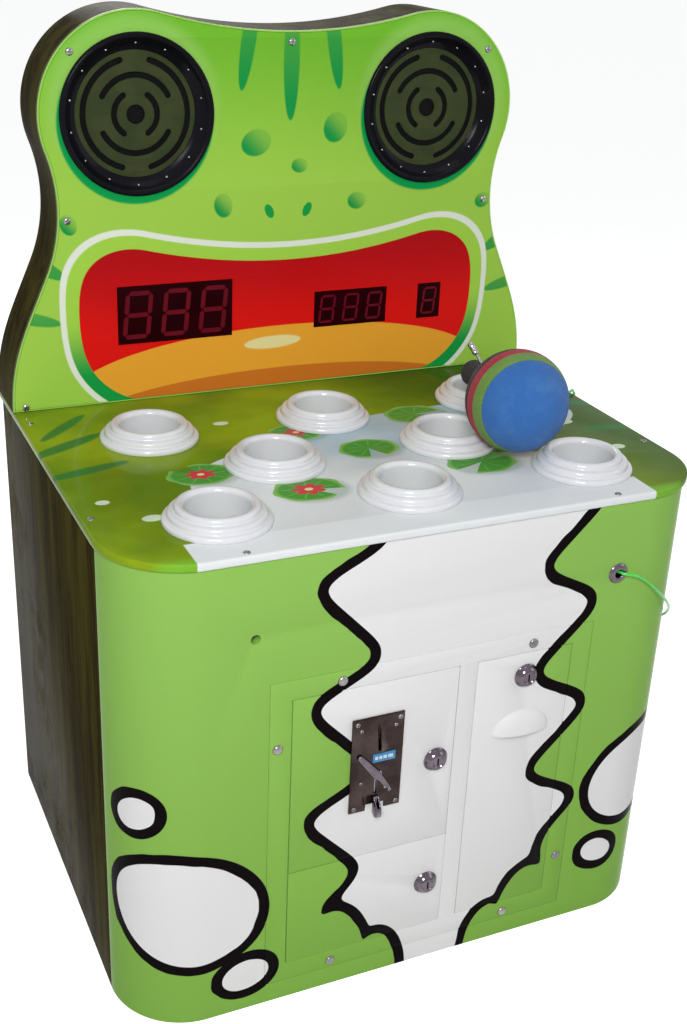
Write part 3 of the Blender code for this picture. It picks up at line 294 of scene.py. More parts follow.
# Signed distance to a wavy upright edge; Side is 1 where the far side lies at higher U
def makeWaveGroup():
    group, given, result = makeGroup("waveDistance", {
        "U": 0.0, "V": 0.0, "Base": 0.0, "Lean": 0.0, "Height": 0.03, "Length": 0.14, "Phase": 0.0,
        "Skew": 0.5, "Side": 1.0}, ["Distance"])
    pace = 2 * math.pi / given["Length"]
    angle = given["V"] * pace + given["Phase"]
    skewed = angle + given["Skew"] * calc("SINE", angle)
    edge = given["Base"] + given["Height"] * calc("SINE", skewed) + given["Lean"] * given["V"]
    swing = 1.0 + given["Skew"] * calc("COSINE", angle)
    slope = given["Height"] * pace * calc("COSINE", skewed) * swing + given["Lean"]
    steep = calc("SQRT", 1.0 + slope * slope)
    feed(result["Distance"], given["Side"] * (given["U"] - edge) / steep)
    return group


# Handling marks: smudges, hairline scratches in two directions, and settled dust on top faces
def makeWearGroup():
    group, given, result = makeGroup("handlingWear", {
        "Vector": None, "Smudge": 0.5, "Scratch": 0.5, "Dust": 0.0}, ["Roughness", "Dust"])
    vector = given["Vector"]
    smudge = ramp(noise(vector, 6.0, 4.0, 0.6), 0.42, 0.68) * ramp(noise(vector, 38.0, 3.0, 0.6), 0.30, 0.72)
    lines = ramp(noise(vector, 26.0, 1.0, 0.4, (0.5, 1.0, 22.0)), 0.735, 0.76)
    crossed = ramp(noise(vector, 24.0, 1.0, 0.4, (20.0, 9.0, 0.6)), 0.74, 0.765)
    patch = ramp(noise(vector, 9.0, 1.0), 0.5, 0.62)
    scratches = calc("MAXIMUM", lines, crossed) * patch * given["Scratch"]
    normal = addNode(group, "ShaderNodeNewGeometry")["Normal"]
    upward = addNode(group, "ShaderNodeSeparateXYZ", {0: normal})["Z"]
    settled = ramp(upward, 0.75, 0.98) * ramp(noise(vector, 60.0, 5.0, 0.7), 0.35, 0.75)
    dust = settled * given["Dust"]
    feed(result["Roughness"], smudge * given["Smudge"] + (scratches * 0.3 + dust * 0.4))
    feed(result["Dust"], dust)
    return group


# The slight waviness and grain of a glossy skin, as a height
def makeRippleGroup():
    group, given, result = makeGroup("surfaceRipple", {
        "Vector": None, "Ripple": 0.4, "Ripple Scale": 14.0, "Grain": 0.2, "Grain Scale": 900.0}, ["Height"])
    ripple = noise(given["Vector"], given["Ripple Scale"]) * given["Ripple"]
    grain = noise(given["Vector"], given["Grain Scale"], 1.0) * given["Grain"]
    feed(result["Height"], ripple + grain)
    return group


# A floating leaf seen from above: its body with a notch, its veins and rim, and a small flower
def makePadGroup():
    group, given, result = makeGroup("floatingLeaf", {
        "U": 0.0, "V": 0.0, "Center U": 0.0, "Center V": 0.0, "Radius": 0.05, "Flatten": 0.8, "Turn": 0.0,
        "Flower": 0.4}, ["Leaf", "Veins", "Rim", "Petals", "Heart"])
    across = given["U"] - given["Center U"]
    up = (given["V"] - given["Center V"]) / given["Flatten"]
    radius = length2(across, up) / given["Radius"]
    angle = calc("ARCTAN2", up, across) + given["Turn"]
    notch = calc("GREATER_THAN", calc("COSINE", angle) + radius * 0.015, 0.965)
    inside = calc("LESS_THAN", radius, 1.0 + 0.035 * calc("SINE", angle * 7.0))
    spokes = calc("COSINE", angle * 9.0)
    petals = given["Flower"] * (0.62 + 0.38 * abs(calc("COSINE", angle * 3.5)))
    feed(result["Leaf"], inside * (1.0 - notch))
    feed(result["Veins"], ramp(spokes, 0.90, 0.985) * ramp(radius, 0.95, 0.55))
    feed(result["Rim"], ramp(radius, 0.80, 0.97))
    feed(result["Petals"], calc("LESS_THAN", radius, petals))
    feed(result["Heart"], calc("LESS_THAN", radius, given["Flower"] * 0.24))
    return group


ovalGroup = makeOvalGroup()
waveGroup = makeWaveGroup()
wearGroup = makeWearGroup()
rippleGroup = makeRippleGroup()
padGroup = makePadGroup()


def oval(u, v, centerU, centerV, radiusU, radiusV, turn=0.0):
    return useGroup(ovalGroup, U=u, V=v, centerU=centerU, centerV=centerV, radiusU=radiusU, radiusV=radiusV,
                    turn=turn)["Distance"]


# Joins distances into one, rounded where they meet
def merged(distances, soft):
    whole, *others = distances
    for distance in others:
        whole = calc("SMOOTH_MIN", whole, distance, soft)
    return whole


# 1 inside a distance's edge and 0 outside, with a crisp or a soft border
def within(distance, soft=0.0004):
    return ramp(distance, soft, -soft)


def startMaterial(name):
    surface = bpy.data.materials.new(name)
    surface.use_nodes = True
    return surface, surface.node_tree.nodes["Principled BSDF"]


# Gives a shader its colour, with wear, dust and surface ripple
def finishSurface(shader, color, roughness, smudge=0.08, scratch=0.3, dust=0.0, ripple=0.4, rippleScale=14.0,
                  grain=0.2, grainScale=900.0, bump=0.03, specular=0.5, coat=0.0,
                  dustColor=(0.42, 0.41, 0.38)):
    vector = objectPlace(shader.id_data)[0]
    wear = useGroup(wearGroup, vector=vector, smudge=smudge, scratch=scratch, dust=dust)
    if dust:
        color = blendColor(wear["Dust"], color, dustColor)
    height = useGroup(rippleGroup, vector=vector, ripple=ripple, rippleScale=rippleScale, grain=grain,
                      grainScale=grainScale)["Height"]
    relief = {"Strength": 1.0, "Distance": bump, "Height": height * 0.01}
    setInputs(shader, {
        "Base Color": color, "Roughness": wear["Roughness"] + roughness, "Specular IOR Level": specular,
        "Coat Weight": coat, "Coat Roughness": 0.06,
        "Normal": addNode(shader.id_data, "ShaderNodeBump", relief)["Normal"]})


# A finish of one colour with slow variation to a second one, plus the shared wear
def plainFinish(name, color, roughness, metallic=0.0, second=None, patch=12.0, **marks):
    surface, shader = startMaterial(name)
    second = second or tuple(part * 0.86 for part in color)
    # slow patches of the second colour: random tone on most finishes, painted reflection streaks on the dark
    # chrome
    toneAndReflectionPatches = ramp(noise(objectPlace(shader.id_data)[0], patch, 4.0, 0.6), 0.32, 0.70)
    shader.inputs["Metallic"].default_value = metallic
    finishSurface(shader, blendColor(toneAndReflectionPatches, color, second), roughness, **marks)
    return surface


# Prints

# Waves are (base, lean, height, length, phase, skew, side); ovals are (center u and v, radius u and v, turn)
frontArt = {
    "green": (0.270, 0.505, 0.100), "greenLow": (0.235, 0.455, 0.078), "white": (0.790, 0.783, 0.783),
    "line": (0.006, 0.004, 0.005), "lineWidth": 0.0066, "hillSoft": 0.010, "waistSoft": 0.030,
    "waves": [(-0.118, 0.02, 0.034, 0.150, 0.9, 0.32, -1.0), (0.182, -0.02, 0.032, 0.140, 5.74, -0.30, 1.0)],
    # between these heights the waves fade to a share of their full swing
    "fade": (0.09, 0.20, 0.2),
    "pebbles": [(-0.296, 0.158, 0.098, 0.078, -0.35), (-0.222, 0.052, 0.036, 0.028, 0.2),
                (-0.352, 0.292, 0.034, 0.026, 0.5), (0.318, 0.205, 0.088, 0.070, 0.30),
                (0.262, 0.096, 0.030, 0.024, -0.3)],
    "hills": [(-0.112, -0.012, 0.056, 0.130), (-0.056, -0.012, 0.040, 0.078), (0.160, -0.012, 0.056, 0.118),
              (0.106, -0.012, 0.040, 0.072)],
}
deckArt = {
    # far is painted shade: the print darkens towards the right side and the back
    "lime": (0.320, 0.440, 0.012), "limeDeep": (0.130, 0.230, 0.010), "far": (0.052, 0.125, 0.006),
    "water": (0.440, 0.560, 0.640), "waterPale": (0.760, 0.780, 0.790), "edge": (0.200, 0.500, 0.040),
    "blade": (0.020, 0.190, 0.040), "bubble": (0.640, 0.770, 0.560), "leaf": (0.085, 0.330, 0.050),
    "leafPale": (0.240, 0.500, 0.110), "petal": (0.640, 0.060, 0.080), "heart": (0.820, 0.700, 0.300),
    "pools": [(0.00, -0.185, 0.285, 0.075), (0.10, -0.035, 0.225, 0.082, 0.10),
              (-0.145, -0.085, 0.090, 0.055, 0.5)],
    # middle, half width and rear edge of the pale strip
    "strip": (-0.004, 0.276, -0.237),
    # center u, center v, radius, flatten, turn, flower
    "pads": [(-0.104, -0.148, 0.042, 0.74, 0.6, 0.50), (0.122, -0.140, 0.044, 0.74, 2.4, 0.0),
             (-0.205, -0.070, 0.040, 0.74, 4.2, 0.46), (0.012, -0.058, 0.038, 0.74, 1.5, 0.0),
             (0.196, -0.075, 0.036, 0.74, 5.2, 0.50), (-0.052, 0.018, 0.036, 0.74, 3.2, 0.48),
             (0.118, 0.030, 0.040, 0.74, 0.2, 0.0)],
    "padShadow": {"right": 0.004, "down": 0.005, "grown": 1.04, "soft": 0.006, "depth": 0.35},
    "blades": [(-0.330, 0.060, 0.060, 0.010, 0.5), (-0.325, -0.020, 0.055, 0.009, 0.25),
               (-0.318, 0.120, 0.050, 0.008, 0.8), (0.330, 0.010, 0.050, 0.010, -0.5),
               (0.318, 0.105, 0.052, 0.009, -0.9), (0.336, -0.090, 0.036, 0.008, -0.2)],
    "bubbles": [(-0.290, -0.165, 0.012, 0.008), (-0.252, -0.226, 0.013, 0.007),
                (-0.330, -0.110, 0.008, 0.006), (0.292, -0.055, 0.012, 0.008),
                (0.310, -0.150, 0.010, 0.007), (-0.130, 0.075, 0.010, 0.006)],
}
faceArt = {
    "low": (0.345, 0.600, 0.075), "high": (0.150, 0.470, 0.028), "blade": (0.010, 0.300, 0.060),
    "shade": (0.005, 0.330, 0.075), "halo": (0.330, 0.600, 0.140), "band": (0.760, 0.800, 0.690),
    "lip": (0.360, 0.630, 0.070), "lipDeep": (0.010, 0.320, 0.060), "red": (0.740, 0.010, 0.008),
    "redDeep": (0.440, 0.006, 0.010), "tongue": (0.820, 0.365, 0.033), "tongueDeep": (0.600, 0.170, 0.020),
    "shine": (0.800, 0.700, 0.330),
    "field": {"v": 0.082, "halfWidth": 0.276, "halfHeight": 0.090, "corner": 0.088, "liftLow": 0.20,
              "liftHigh": 0.66, "bandReach": 0.0240, "lipReach": 0.0165},
    "blades": [(-0.056, 0.446, 0.062, 0.0095, 1.42), (0.0, 0.420, 0.072, 0.0105, 1.5708),
               (0.056, 0.446, 0.062, 0.0095, 1.72), (-0.330, 0.190, 0.045, 0.010, -0.55),
               (0.330, 0.190, 0.045, 0.010, 0.55), (-0.338, 0.120, 0.040, 0.008, -0.25),
               (0.338, 0.120, 0.040, 0.008, 0.25)],
    "spots": [(-0.045, 0.322, 0.020, 0.016, 0.3), (0.062, 0.338, 0.016, 0.019, -0.3),
              (0.014, 0.292, 0.011, 0.009, 0.0), (-0.088, 0.246, 0.012, 0.015, 0.2),
              (0.096, 0.244, 0.013, 0.011, 0.0), (-0.285, 0.232, 0.010, 0.013, 0.4),
              (0.285, 0.236, 0.012, 0.010, 0.4)],
    "nostrils": [(-0.026, 0.236, 0.0055, 0.0095, 0.45), (0.026, 0.236, 0.0055, 0.0095, -0.45)],
    # offset from the eye's middle, and radius
    "haloShape": (0.004, 0.010, 0.104), "shadeShape": (-0.002, -0.008, 0.0965),
    "tongueShape": (0.0, 0.012, 0.292, 0.072), "rootShape": (0.0, -0.020, 0.270, 0.046),
    "shineShape": (-0.018, 0.062, 0.040, 0.0085, 0.03),
}


# Green skin with a white middle and pebbles, edged with a black brush line, unrolled round the corners
def makeFrontPrint():
    surface, shader = startMaterial("frontPrint")
    vector, x, y, z = objectPlace(shader.id_data)
    wobble = noise(vector, 22.0) - 0.5
    bent = calc("ARCTAN2", calc("MAXIMUM", abs(x) - cornerX, 0.0), cornerY - y)
    u = calc("SIGN", x) * (calc("MINIMUM", abs(x), cornerX) + bent * cabinet["corner"]) + wobble * 0.006

    edges = []
    fadeLow, fadeHigh, fadeShare = frontArt["fade"]
    for base, lean, height, length, phase, skew, side in frontArt["waves"]:
        swing = ramp(z, fadeLow, fadeHigh, height * fadeShare, height)
        edges.append(useGroup(waveGroup, U=u, V=z, base=base, lean=lean, height=swing, length=length,
                              phase=phase, skew=skew, side=side)["Distance"])
    hills = merged([oval(u, z, *hill) for hill in frontArt["hills"]], frontArt["hillSoft"])
    white = calc("SMOOTH_MAX", calc("MAXIMUM", *edges), hills * -1.0, frontArt["waistSoft"])
    for pebble in frontArt["pebbles"]:
        white = calc("MINIMUM", white, oval(u, z, *pebble))

    green = blendColor(ramp(z, 0.05, 0.55), frontArt["greenLow"], frontArt["green"])
    color = blendColor(within(white), green, frontArt["white"])
    stroke = frontArt["lineWidth"] + wobble * 0.004
    color = blendColor(within(abs(white) - stroke, 0.0003), color, frontArt["line"])
    finishSurface(shader, color, roughness=0.17, smudge=0.12, scratch=0.05, ripple=0.9, rippleScale=7.0,
                  grain=0.05, bump=0.06, specular=0.010)
    return surface


def paintPad(color, x, y, centerU, centerV, radius, flatten, turn, flower):
    cast = deckArt["padShadow"]
    wide = radius * cast["grown"]
    shadow = oval(x, y, centerU + cast["right"], centerV - cast["down"], wide, wide * flatten)
    color = blendColor(within(shadow, cast["soft"]) * cast["depth"], color, deckArt["blade"])
    pad = useGroup(padGroup, U=x, V=y, centerU=centerU, centerV=centerV, radius=radius, flatten=flatten,
                   turn=turn, flower=flower)
    leaf = blendColor(pad["Rim"], deckArt["leaf"], deckArt["leafPale"])
    leaf = blendColor(pad["Veins"] * 0.7, leaf, deckArt["leafPale"])
    color = blendColor(pad["Leaf"], color, leaf)
    if flower:
        color = blendColor(pad["Petals"], color, deckArt["petal"])
        color = blendColor(pad["Heart"], color, deckArt["heart"])
    return color


# A pond seen from above: pale water, floating leaves with small flowers, reeds and bubbles on green
def makeDeckPrint():
    surface, shader = startMaterial("deckPrint")
    vector, x, y, _ = objectPlace(shader.id_data)
    color = blendColor(ramp(noise(vector, 5.0, 3.0), 0.3, 0.7), deckArt["lime"], deckArt["limeDeep"])
    # painted shade: the colour darkens towards the right side and the back of the deck
    color = blendColor(ramp(x + y * 0.5, 0.02, 0.30), color, deckArt["far"])
    for blade in deckArt["blades"]:
        color = blendColor(within(oval(x, y, *blade), 0.003) * 0.85, color, deckArt["blade"])
    color = blendColor(ramp(y, -0.262, -0.277) * 0.8, color, deckArt["edge"])

    middle, reach, edgeY = deckArt["strip"]
    strip = calc("MAXIMUM", abs(x - middle) - reach, y - edgeY)
    pools = merged([oval(x, y, *pool) for pool in deckArt["pools"]], 0.03)
    cloudy = (y - 0.06) + noise(vector, 7.0) * -0.34
    water = blendColor(ramp(cloudy, -0.36, -0.22), deckArt["waterPale"], deckArt["water"])
    color = blendColor(within(merged([pools, strip], 0.02), 0.0008), color, water)
    for bubble in deckArt["bubbles"]:
        color = blendColor(within(oval(x, y, *bubble), 0.0008), color, deckArt["bubble"])
    for pad in deckArt["pads"]:
        color = paintPad(color, x, y, *pad)
    finishSurface(shader, color, roughness=0.08, smudge=0.10, scratch=0.1, dust=0.03, ripple=0.5,
                  rippleScale=9.0, grain=0.04, bump=0.04, specular=0.030)
    return surface


# The red field with its border and tongue: a rounded box whose ends lift
def paintField(color, x, v):
    field = faceArt["field"]
    lift = ramp(v, 0.04, 0.18, field["liftLow"], field["liftHigh"])
    boxU = abs(x) - (field["halfWidth"] - field["corner"])
    boxV = abs((v - x * x * lift) - field["v"]) - (field["halfHeight"] - field["corner"])
    outside = length2(calc("MAXIMUM", boxU, 0.0), calc("MAXIMUM", boxV, 0.0))
    distance = outside + calc("MINIMUM", calc("MAXIMUM", boxU, boxV), 0.0) - field["corner"]

    color = blendColor(within(distance - field["bandReach"], 0.0009), color, faceArt["band"])
    lip = blendColor(ramp(v, 0.115, 0.035), faceArt["lip"], faceArt["lipDeep"])
    color = blendColor(within(distance - field["lipReach"], 0.0009), color, lip)
    red = blendColor(ramp(v, 0.08, 0.20), faceArt["red"], faceArt["redDeep"])
    for shape, soft, paint in (("tongueShape", 0.0006, "tongue"), ("rootShape", 0.0008, "tongueDeep"),
                               ("shineShape", 0.0012, "shine")):
        red = blendColor(within(oval(x, v, *faceArt[shape]), soft), red, faceArt[paint])
    return blendColor(within(distance, 0.0005), color, red)


# Lime board with soft darker reeds and spots, shaded eye rims and a wide red scoring field
def makeFacePrint():
    surface, shader = startMaterial("facePrint")
    _, x, _, height = objectPlace(shader.id_data)
    v = height - deckTop
    color = blendColor(ramp(v, 0.24, 0.50), faceArt["low"], faceArt["high"])
    for blade in faceArt["blades"]:
        shade = ramp(v, blade[1] + 0.07, blade[1] - 0.06, 0.55, 1.0)
        color = blendColor(within(oval(x, v, *blade), 0.0012) * shade, color, faceArt["blade"])
    for spot in faceArt["spots"]:
        centerU, centerV, radiusU = spot[:3]
        shade = ramp((x - centerU) + (v - centerV), radiusU * 1.3, -radiusU * 1.2, 0.25, 1.0)
        color = blendColor(within(oval(x, v, *spot), 0.0012) * shade, color, faceArt["blade"])
    for nostril in faceArt["nostrils"]:
        color = blendColor(within(oval(x, v, *nostril)), color, faceArt["lipDeep"])

    right, up, radius = faceArt["haloShape"]
    halo = oval(abs(x), v, head["bumpX"] + right, head["bumpZ"] + up, radius, radius)
    color = blendColor(within(halo, 0.010) * 0.55, color, faceArt["halo"])
    right, up, radius = faceArt["shadeShape"]
    rims = [oval(x, v, side * head["bumpX"] + right, head["bumpZ"] + up, radius, radius) for side in (1, -1)]
    color = blendColor(within(calc("MINIMUM", *rims), 0.0016), color, faceArt["shade"])
    finishSurface(shader, paintField(color, x, v), roughness=0.13, smudge=0.10, scratch=0.05, ripple=0.8,
                  rippleScale=8.0, grain=0.05, bump=0.05, specular=0.025)
    return surface


# Finishes

# Dark wood-look laminate under lacquer, with long streaks up the boards
def makeLaminate():
    surface, shader = startMaterial("darkLaminate")
    vector = objectPlace(shader.id_data)[0]
    streaks = ramp(noise(vector, 5.0, 5.0, 0.62, (6.0, 6.0, 0.55)), 0.35, 0.68)
    fine = ramp(noise(vector, 30.0, 3.0, 0.6, (5.0, 5.0, 0.35)), 0.50, 0.72)
    color = blendColor(streaks, (0.026, 0.019, 0.006), (0.066, 0.058, 0.012))
    color = blendColor(fine * 0.45, color, (0.100, 0.070, 0.020))
    finishSurface(shader, color, roughness=0.20, smudge=0.16, scratch=0.4, dust=0.10, ripple=1.0,
                  rippleScale=5.0, grain=0.08, grainScale=300.0, bump=0.08, specular=0.0006,
                  dustColor=(0.11, 0.10, 0.08))
    return surface


# The board's edge: a bright line at the front and dark sealer behind it
def makeEdging():
    surface, shader = startMaterial("edging")
    vector, _, y, _ = objectPlace(shader.id_data)
    uneven = (noise(vector, 40.0) - 0.5) * 0.0008
    behind = ramp(y + uneven, head["face"] + 0.0022, head["face"] + 0.0032)
    finishSurface(shader, blendColor(behind, (0.330, 0.620, 0.110), (0.030, 0.026, 0.006)), roughness=0.30,
                  specular=0.03)
    return surface


# Raw plywood: long grain with darker pores
def makeBoard():
    surface, shader = startMaterial("rawBoard")
    vector = objectPlace(shader.id_data)[0]
    grain = ramp(noise(vector, 9.0, 6.0, 0.65, (0.7, 9.0, 9.0)), 0.32, 0.72)
    pores = ramp(noise(vector, 60.0, 2.0, 0.5, (0.5, 7.0, 7.0)), 0.62, 0.74)
    color = blendColor(grain, (0.58, 0.42, 0.24), (0.38, 0.25, 0.13))
    color = blendColor(pores, color, (0.25, 0.16, 0.08))
    finishSurface(shader, color, roughness=0.62, smudge=0.1, scratch=0.1, dust=0.3, grain=1.0,
                  grainScale=220.0, bump=0.12)
    return surface


# Closed-cell foam: fine pits with painted shade, a soft bloom and rubbed patches
def makeFoam(name, color, worn):
    surface, shader = startMaterial(name)
    vector = objectPlace(shader.id_data)[0]
    pits = addNode(shader.id_data, "ShaderNodeTexVoronoi", {"Vector": vector, "Scale": 620.0})["Distance"]
    rubbed = ramp(noise(vector, 26.0, 5.0, 0.7), 0.45, 0.72)
    tone = blendColor(rubbed * 0.55, color, worn)
    # painted shade: the pits get a darker copy of the colour
    deep = tuple(part * 0.62 for part in color)
    tone = blendColor(ramp(pits, 0.28, 0.0, 0.0, 0.55), tone, deep)
    finishSurface(shader, tone, roughness=0.78, smudge=0.12, scratch=0.0, dust=0.05, ripple=1.4,
                  rippleScale=40.0, grain=1.4, grainScale=700.0, bump=0.10, specular=0.2)
    setInputs(shader, {"Sheen Weight": 0.12, "Sheen Roughness": 0.45})
    return surface


# Solder mask with a grid of thin traces
def makeCircuit():
    surface, shader = startMaterial("circuitBoard")
    vector, x, _, z = objectPlace(shader.id_data)
    rows = calc("LESS_THAN", calc("PINGPONG", z, 0.0024), 0.0004)
    columns = calc("LESS_THAN", calc("PINGPONG", x, 0.0031), 0.0004)
    traces = blendColor(ramp(noise(vector, 70.0, 1.0), 0.48, 0.52), rows, columns)
    finishSurface(shader, blendColor(traces, (0.012, 0.140, 0.045), (0.060, 0.300, 0.110)), roughness=0.35,
                  dust=0.3, grain=0.3)
    return surface


foamSet = {
    # colour and worn colour
    "blueFoam": ((0.038, 0.150, 0.450), (0.075, 0.220, 0.520)),
    "greenFoam": ((0.150, 0.290, 0.060), (0.240, 0.390, 0.110)),
    "redFoam": ((0.400, 0.022, 0.050), (0.480, 0.060, 0.080)),
    "blackFoam": ((0.018, 0.015, 0.016), (0.045, 0.040, 0.038)),
}
plainSet = {
    "ringPlastic": dict(color=(0.74, 0.74, 0.76), roughness=0.12, second=(0.70, 0.70, 0.73), coat=0.1,
                        smudge=0.10, dust=0.06, ripple=0.5, rippleScale=24.0, grain=0.05, bump=0.04),
    "targetPlastic": dict(color=(0.10, 0.36, 0.05), roughness=0.30, dust=0.10),
    "chrome": dict(color=(0.36, 0.35, 0.37), roughness=0.07, metallic=1.0, second=(0.26, 0.25, 0.27),
                   smudge=0.14, scratch=0.5, ripple=0.3, grain=0.05, bump=0.02),
    "lockChrome": dict(color=(0.150, 0.125, 0.150), roughness=0.06, metallic=1.0,
                       second=(0.100, 0.080, 0.098), patch=60.0, smudge=0.12, scratch=0.4, ripple=0.3,
                       grain=0.05, bump=0.02),
    # the lighter second colour of the dark chrome is painted reflection streaks on the plate
    "darkChrome": dict(color=(0.028, 0.019, 0.018), roughness=0.12, metallic=1.0,
                       second=(0.066, 0.047, 0.046), patch=26.0, smudge=0.14, scratch=0.5, ripple=0.5,
                       rippleScale=18.0, grain=0.06, bump=0.03),
    "zincSteel": dict(color=(0.50, 0.51, 0.53), roughness=0.34, metallic=1.0, second=(0.38, 0.39, 0.41),
                      patch=40.0, dust=0.2),
    "boltSteel": dict(color=(0.30, 0.29, 0.28), roughness=0.26, metallic=1.0, second=(0.16, 0.15, 0.15),
                      patch=90.0),
    "glossBlack": dict(color=(0.005, 0.005, 0.007), roughness=0.12, second=(0.008, 0.007, 0.011),
                       specular=0.05, smudge=0.16, dust=0.05, ripple=0.5, rippleScale=30.0, bump=0.03,
                       dustColor=(0.06, 0.06, 0.06)),
    "grillePaint": dict(color=(0.056, 0.070, 0.025), roughness=0.40, second=(0.040, 0.056, 0.021), patch=30.0,
                        smudge=0.15, dust=0.1, grain=1.2, grainScale=1500.0, bump=0.10, specular=0.08,
                        dustColor=(0.10, 0.10, 0.08)),
    "speakerPaper": dict(color=(0.006, 0.006, 0.006), roughness=0.85, grain=1.0, grainScale=500.0, bump=0.1,
                         specular=0.1),
    "displayGlass": dict(color=(0.016, 0.001, 0.002), roughness=0.07, second=(0.024, 0.001, 0.003),
                         smudge=0.10, ripple=0.3, bump=0.02, specular=0.015),
    "segment": dict(color=(0.110, 0.004, 0.010), roughness=0.30, second=(0.080, 0.003, 0.008), specular=0.05),
    "labelBlue": dict(color=(0.020, 0.190, 0.440), roughness=0.30, second=(0.030, 0.240, 0.500), patch=160.0),
    "labelPale": dict(color=(0.62, 0.72, 0.80), roughness=0.35),
    "cordCoat": dict(color=(0.050, 0.640, 0.060), roughness=0.22, second=(0.040, 0.520, 0.045), patch=60.0,
                     coat=0.3),
    "brass": dict(color=(0.62, 0.45, 0.20), roughness=0.25, metallic=1.0),
}
finish = {
    "frontPrint": makeFrontPrint(), "deckPrint": makeDeckPrint(), "facePrint": makeFacePrint(),
    "darkLaminate": makeLaminate(), "edging": makeEdging(), "rawBoard": makeBoard(),
    "circuitBoard": makeCircuit(),
}
finish.update({name: makeFoam(name, *colors) for name, colors in foamSet.items()})
finish.update({name: plainFinish(name, **values) for name, values in plainSet.items()})
# painted glow: the unlit digits are given a faint red emission
setInputs(finish["segment"].node_tree.nodes["Principled BSDF"], {
    "Emission Color": (0.60, 0.02, 0.06), "Emission Strength": 0.05})
print("finishes made")


# Mesh helpers
# points closer than this become one
weld = 0.000002
# degrees below which faces count as flat and above which an edge is rounded
softSet = {"flat": 0.5, "sharp": 30, "segments": 2}


# Links a finished mesh as a piece that rides on a body
def addPiece(name, mesh, surface, body, replaced=(), smooth=None):
    if isinstance(mesh, bmesh.types.BMesh):
        shape, mesh = mesh, bpy.data.meshes.new(name)
        shape.to_mesh(mesh)
        shape.free()
    mesh.name = name
    mesh.materials.clear()
    mesh.materials.append(surface)
    if smooth is not None:
        mesh.shade_smooth()
        mesh.set_sharp_from_angle(angle=math.radians(smooth))
    piece = bpy.data.objects.new(name, mesh)
    bpy.context.collection.objects.link(piece)
    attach(piece, body)
    if replaced:
        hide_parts(*replaced)
    return piece


# An object's mesh with its curve, modifiers and trees worked out
def evaluated(thing):
    depsgraph = bpy.context.evaluated_depsgraph_get()
    return bpy.data.meshes.new_from_object(thing.evaluated_get(depsgraph), depsgraph=depsgraph)


def inMetres(profile):
    return [(radius / 1000, height / 1000) for radius, height in profile]


# Skins a row of loops with equal counts and caps both ends
def stack(loops):
    shape = bmesh.new()
    rings = [[shape.verts.new(point) for point in loop] for loop in loops]
    for low, high in zip(rings, rings[1:]):
        for here in range(len(low)):
            after = (here + 1) % len(low)
            shape.faces.new((low[here], low[after], high[after], high[here]))
    shape.faces.new(rings[0])
    shape.faces.new(rings[-1])
    bmesh.ops.recalc_face_normals(shape, faces=shape.faces)
    return shape


# Spins (radius, height) points round local Z; a ring profile closes on itself
def turned(profile, sides, place=Matrix(), ring=False):
    shape = bmesh.new()
    loops = []
    for radius, height in profile:
        if radius < weld:
            loops.append([shape.verts.new((0, 0, height))])
        else:
            loops.append([shape.verts.new((x, y, height)) for x, y in circle(0, 0, radius, sides)])
    pairs = list(zip(loops, loops[1:]))
    if ring:
        pairs.append((loops[-1], loops[0]))
    for low, high in pairs:
        for side in range(sides):
            after = (side + 1) % sides
            if len(low) == 1:
                shape.faces.new((low[0], high[after], high[side]))
            elif len(high) == 1:
                shape.faces.new((low[side], low[after], high[0]))
            else:
                shape.faces.new((low[side], low[after], high[after], high[side]))
    bmesh.ops.transform(shape, matrix=place, verts=shape.verts)
    bmesh.ops.recalc_face_normals(shape, faces=shape.faces)
    return shape


# A placement whose local Z runs towards +Y, into the cabinet
def facingBack(x, y, z):
    return Matrix.Translation((x, y, z)) @ Matrix.Rotation(-math.pi / 2, 4, "X")


def alongLine(start, direction):
    return Matrix.Translation(start) @ direction.to_track_quat("Z", "Y").to_matrix().to_4x4()


def rectangle(left, right, low, high):
    return [(left, low), (right, low), (right, high), (left, high)]


def box(left, right, front, back, low, high):
    return stack([[(x, y, z) for x, y in rectangle(left, right, front, back)] for z in (low, high)])


# Adds a second bmesh to the first as a loose shell
def join(first, second):
    scratch = bpy.data.meshes.new("scratch")
    second.to_mesh(scratch)
    second.free()
    first.from_mesh(scratch)
    bpy.data.meshes.remove(scratch)
    return first


# Rounds a bmesh's sharp edges
def soften(shape, width):
    flat, sharp = math.radians(softSet["flat"]), math.radians(softSet["sharp"])
    bmesh.ops.remove_doubles(shape, verts=shape.verts, dist=weld)
    bmesh.ops.dissolve_limit(shape, angle_limit=flat, verts=shape.verts, edges=shape.edges)
    edges = [edge for edge in shape.edges if len(edge.link_faces) == 2 and edge.calc_face_angle() > sharp]
    bmesh.ops.bevel(shape, geom=edges, offset=width, segments=softSet["segments"], profile=0.5,
                    affect="EDGES", clamp_overlap=True, harden_normals=False)
    return shape


# A copy of a solid with its sharp edges rounded, shown in its place
def softNode(name, node, surface, body, width):
    shape = bmesh.new()
    shape.from_mesh(nodes[node].data)
    return addPiece(name, soften(shape, width), surface, body, [node], smooth=35)


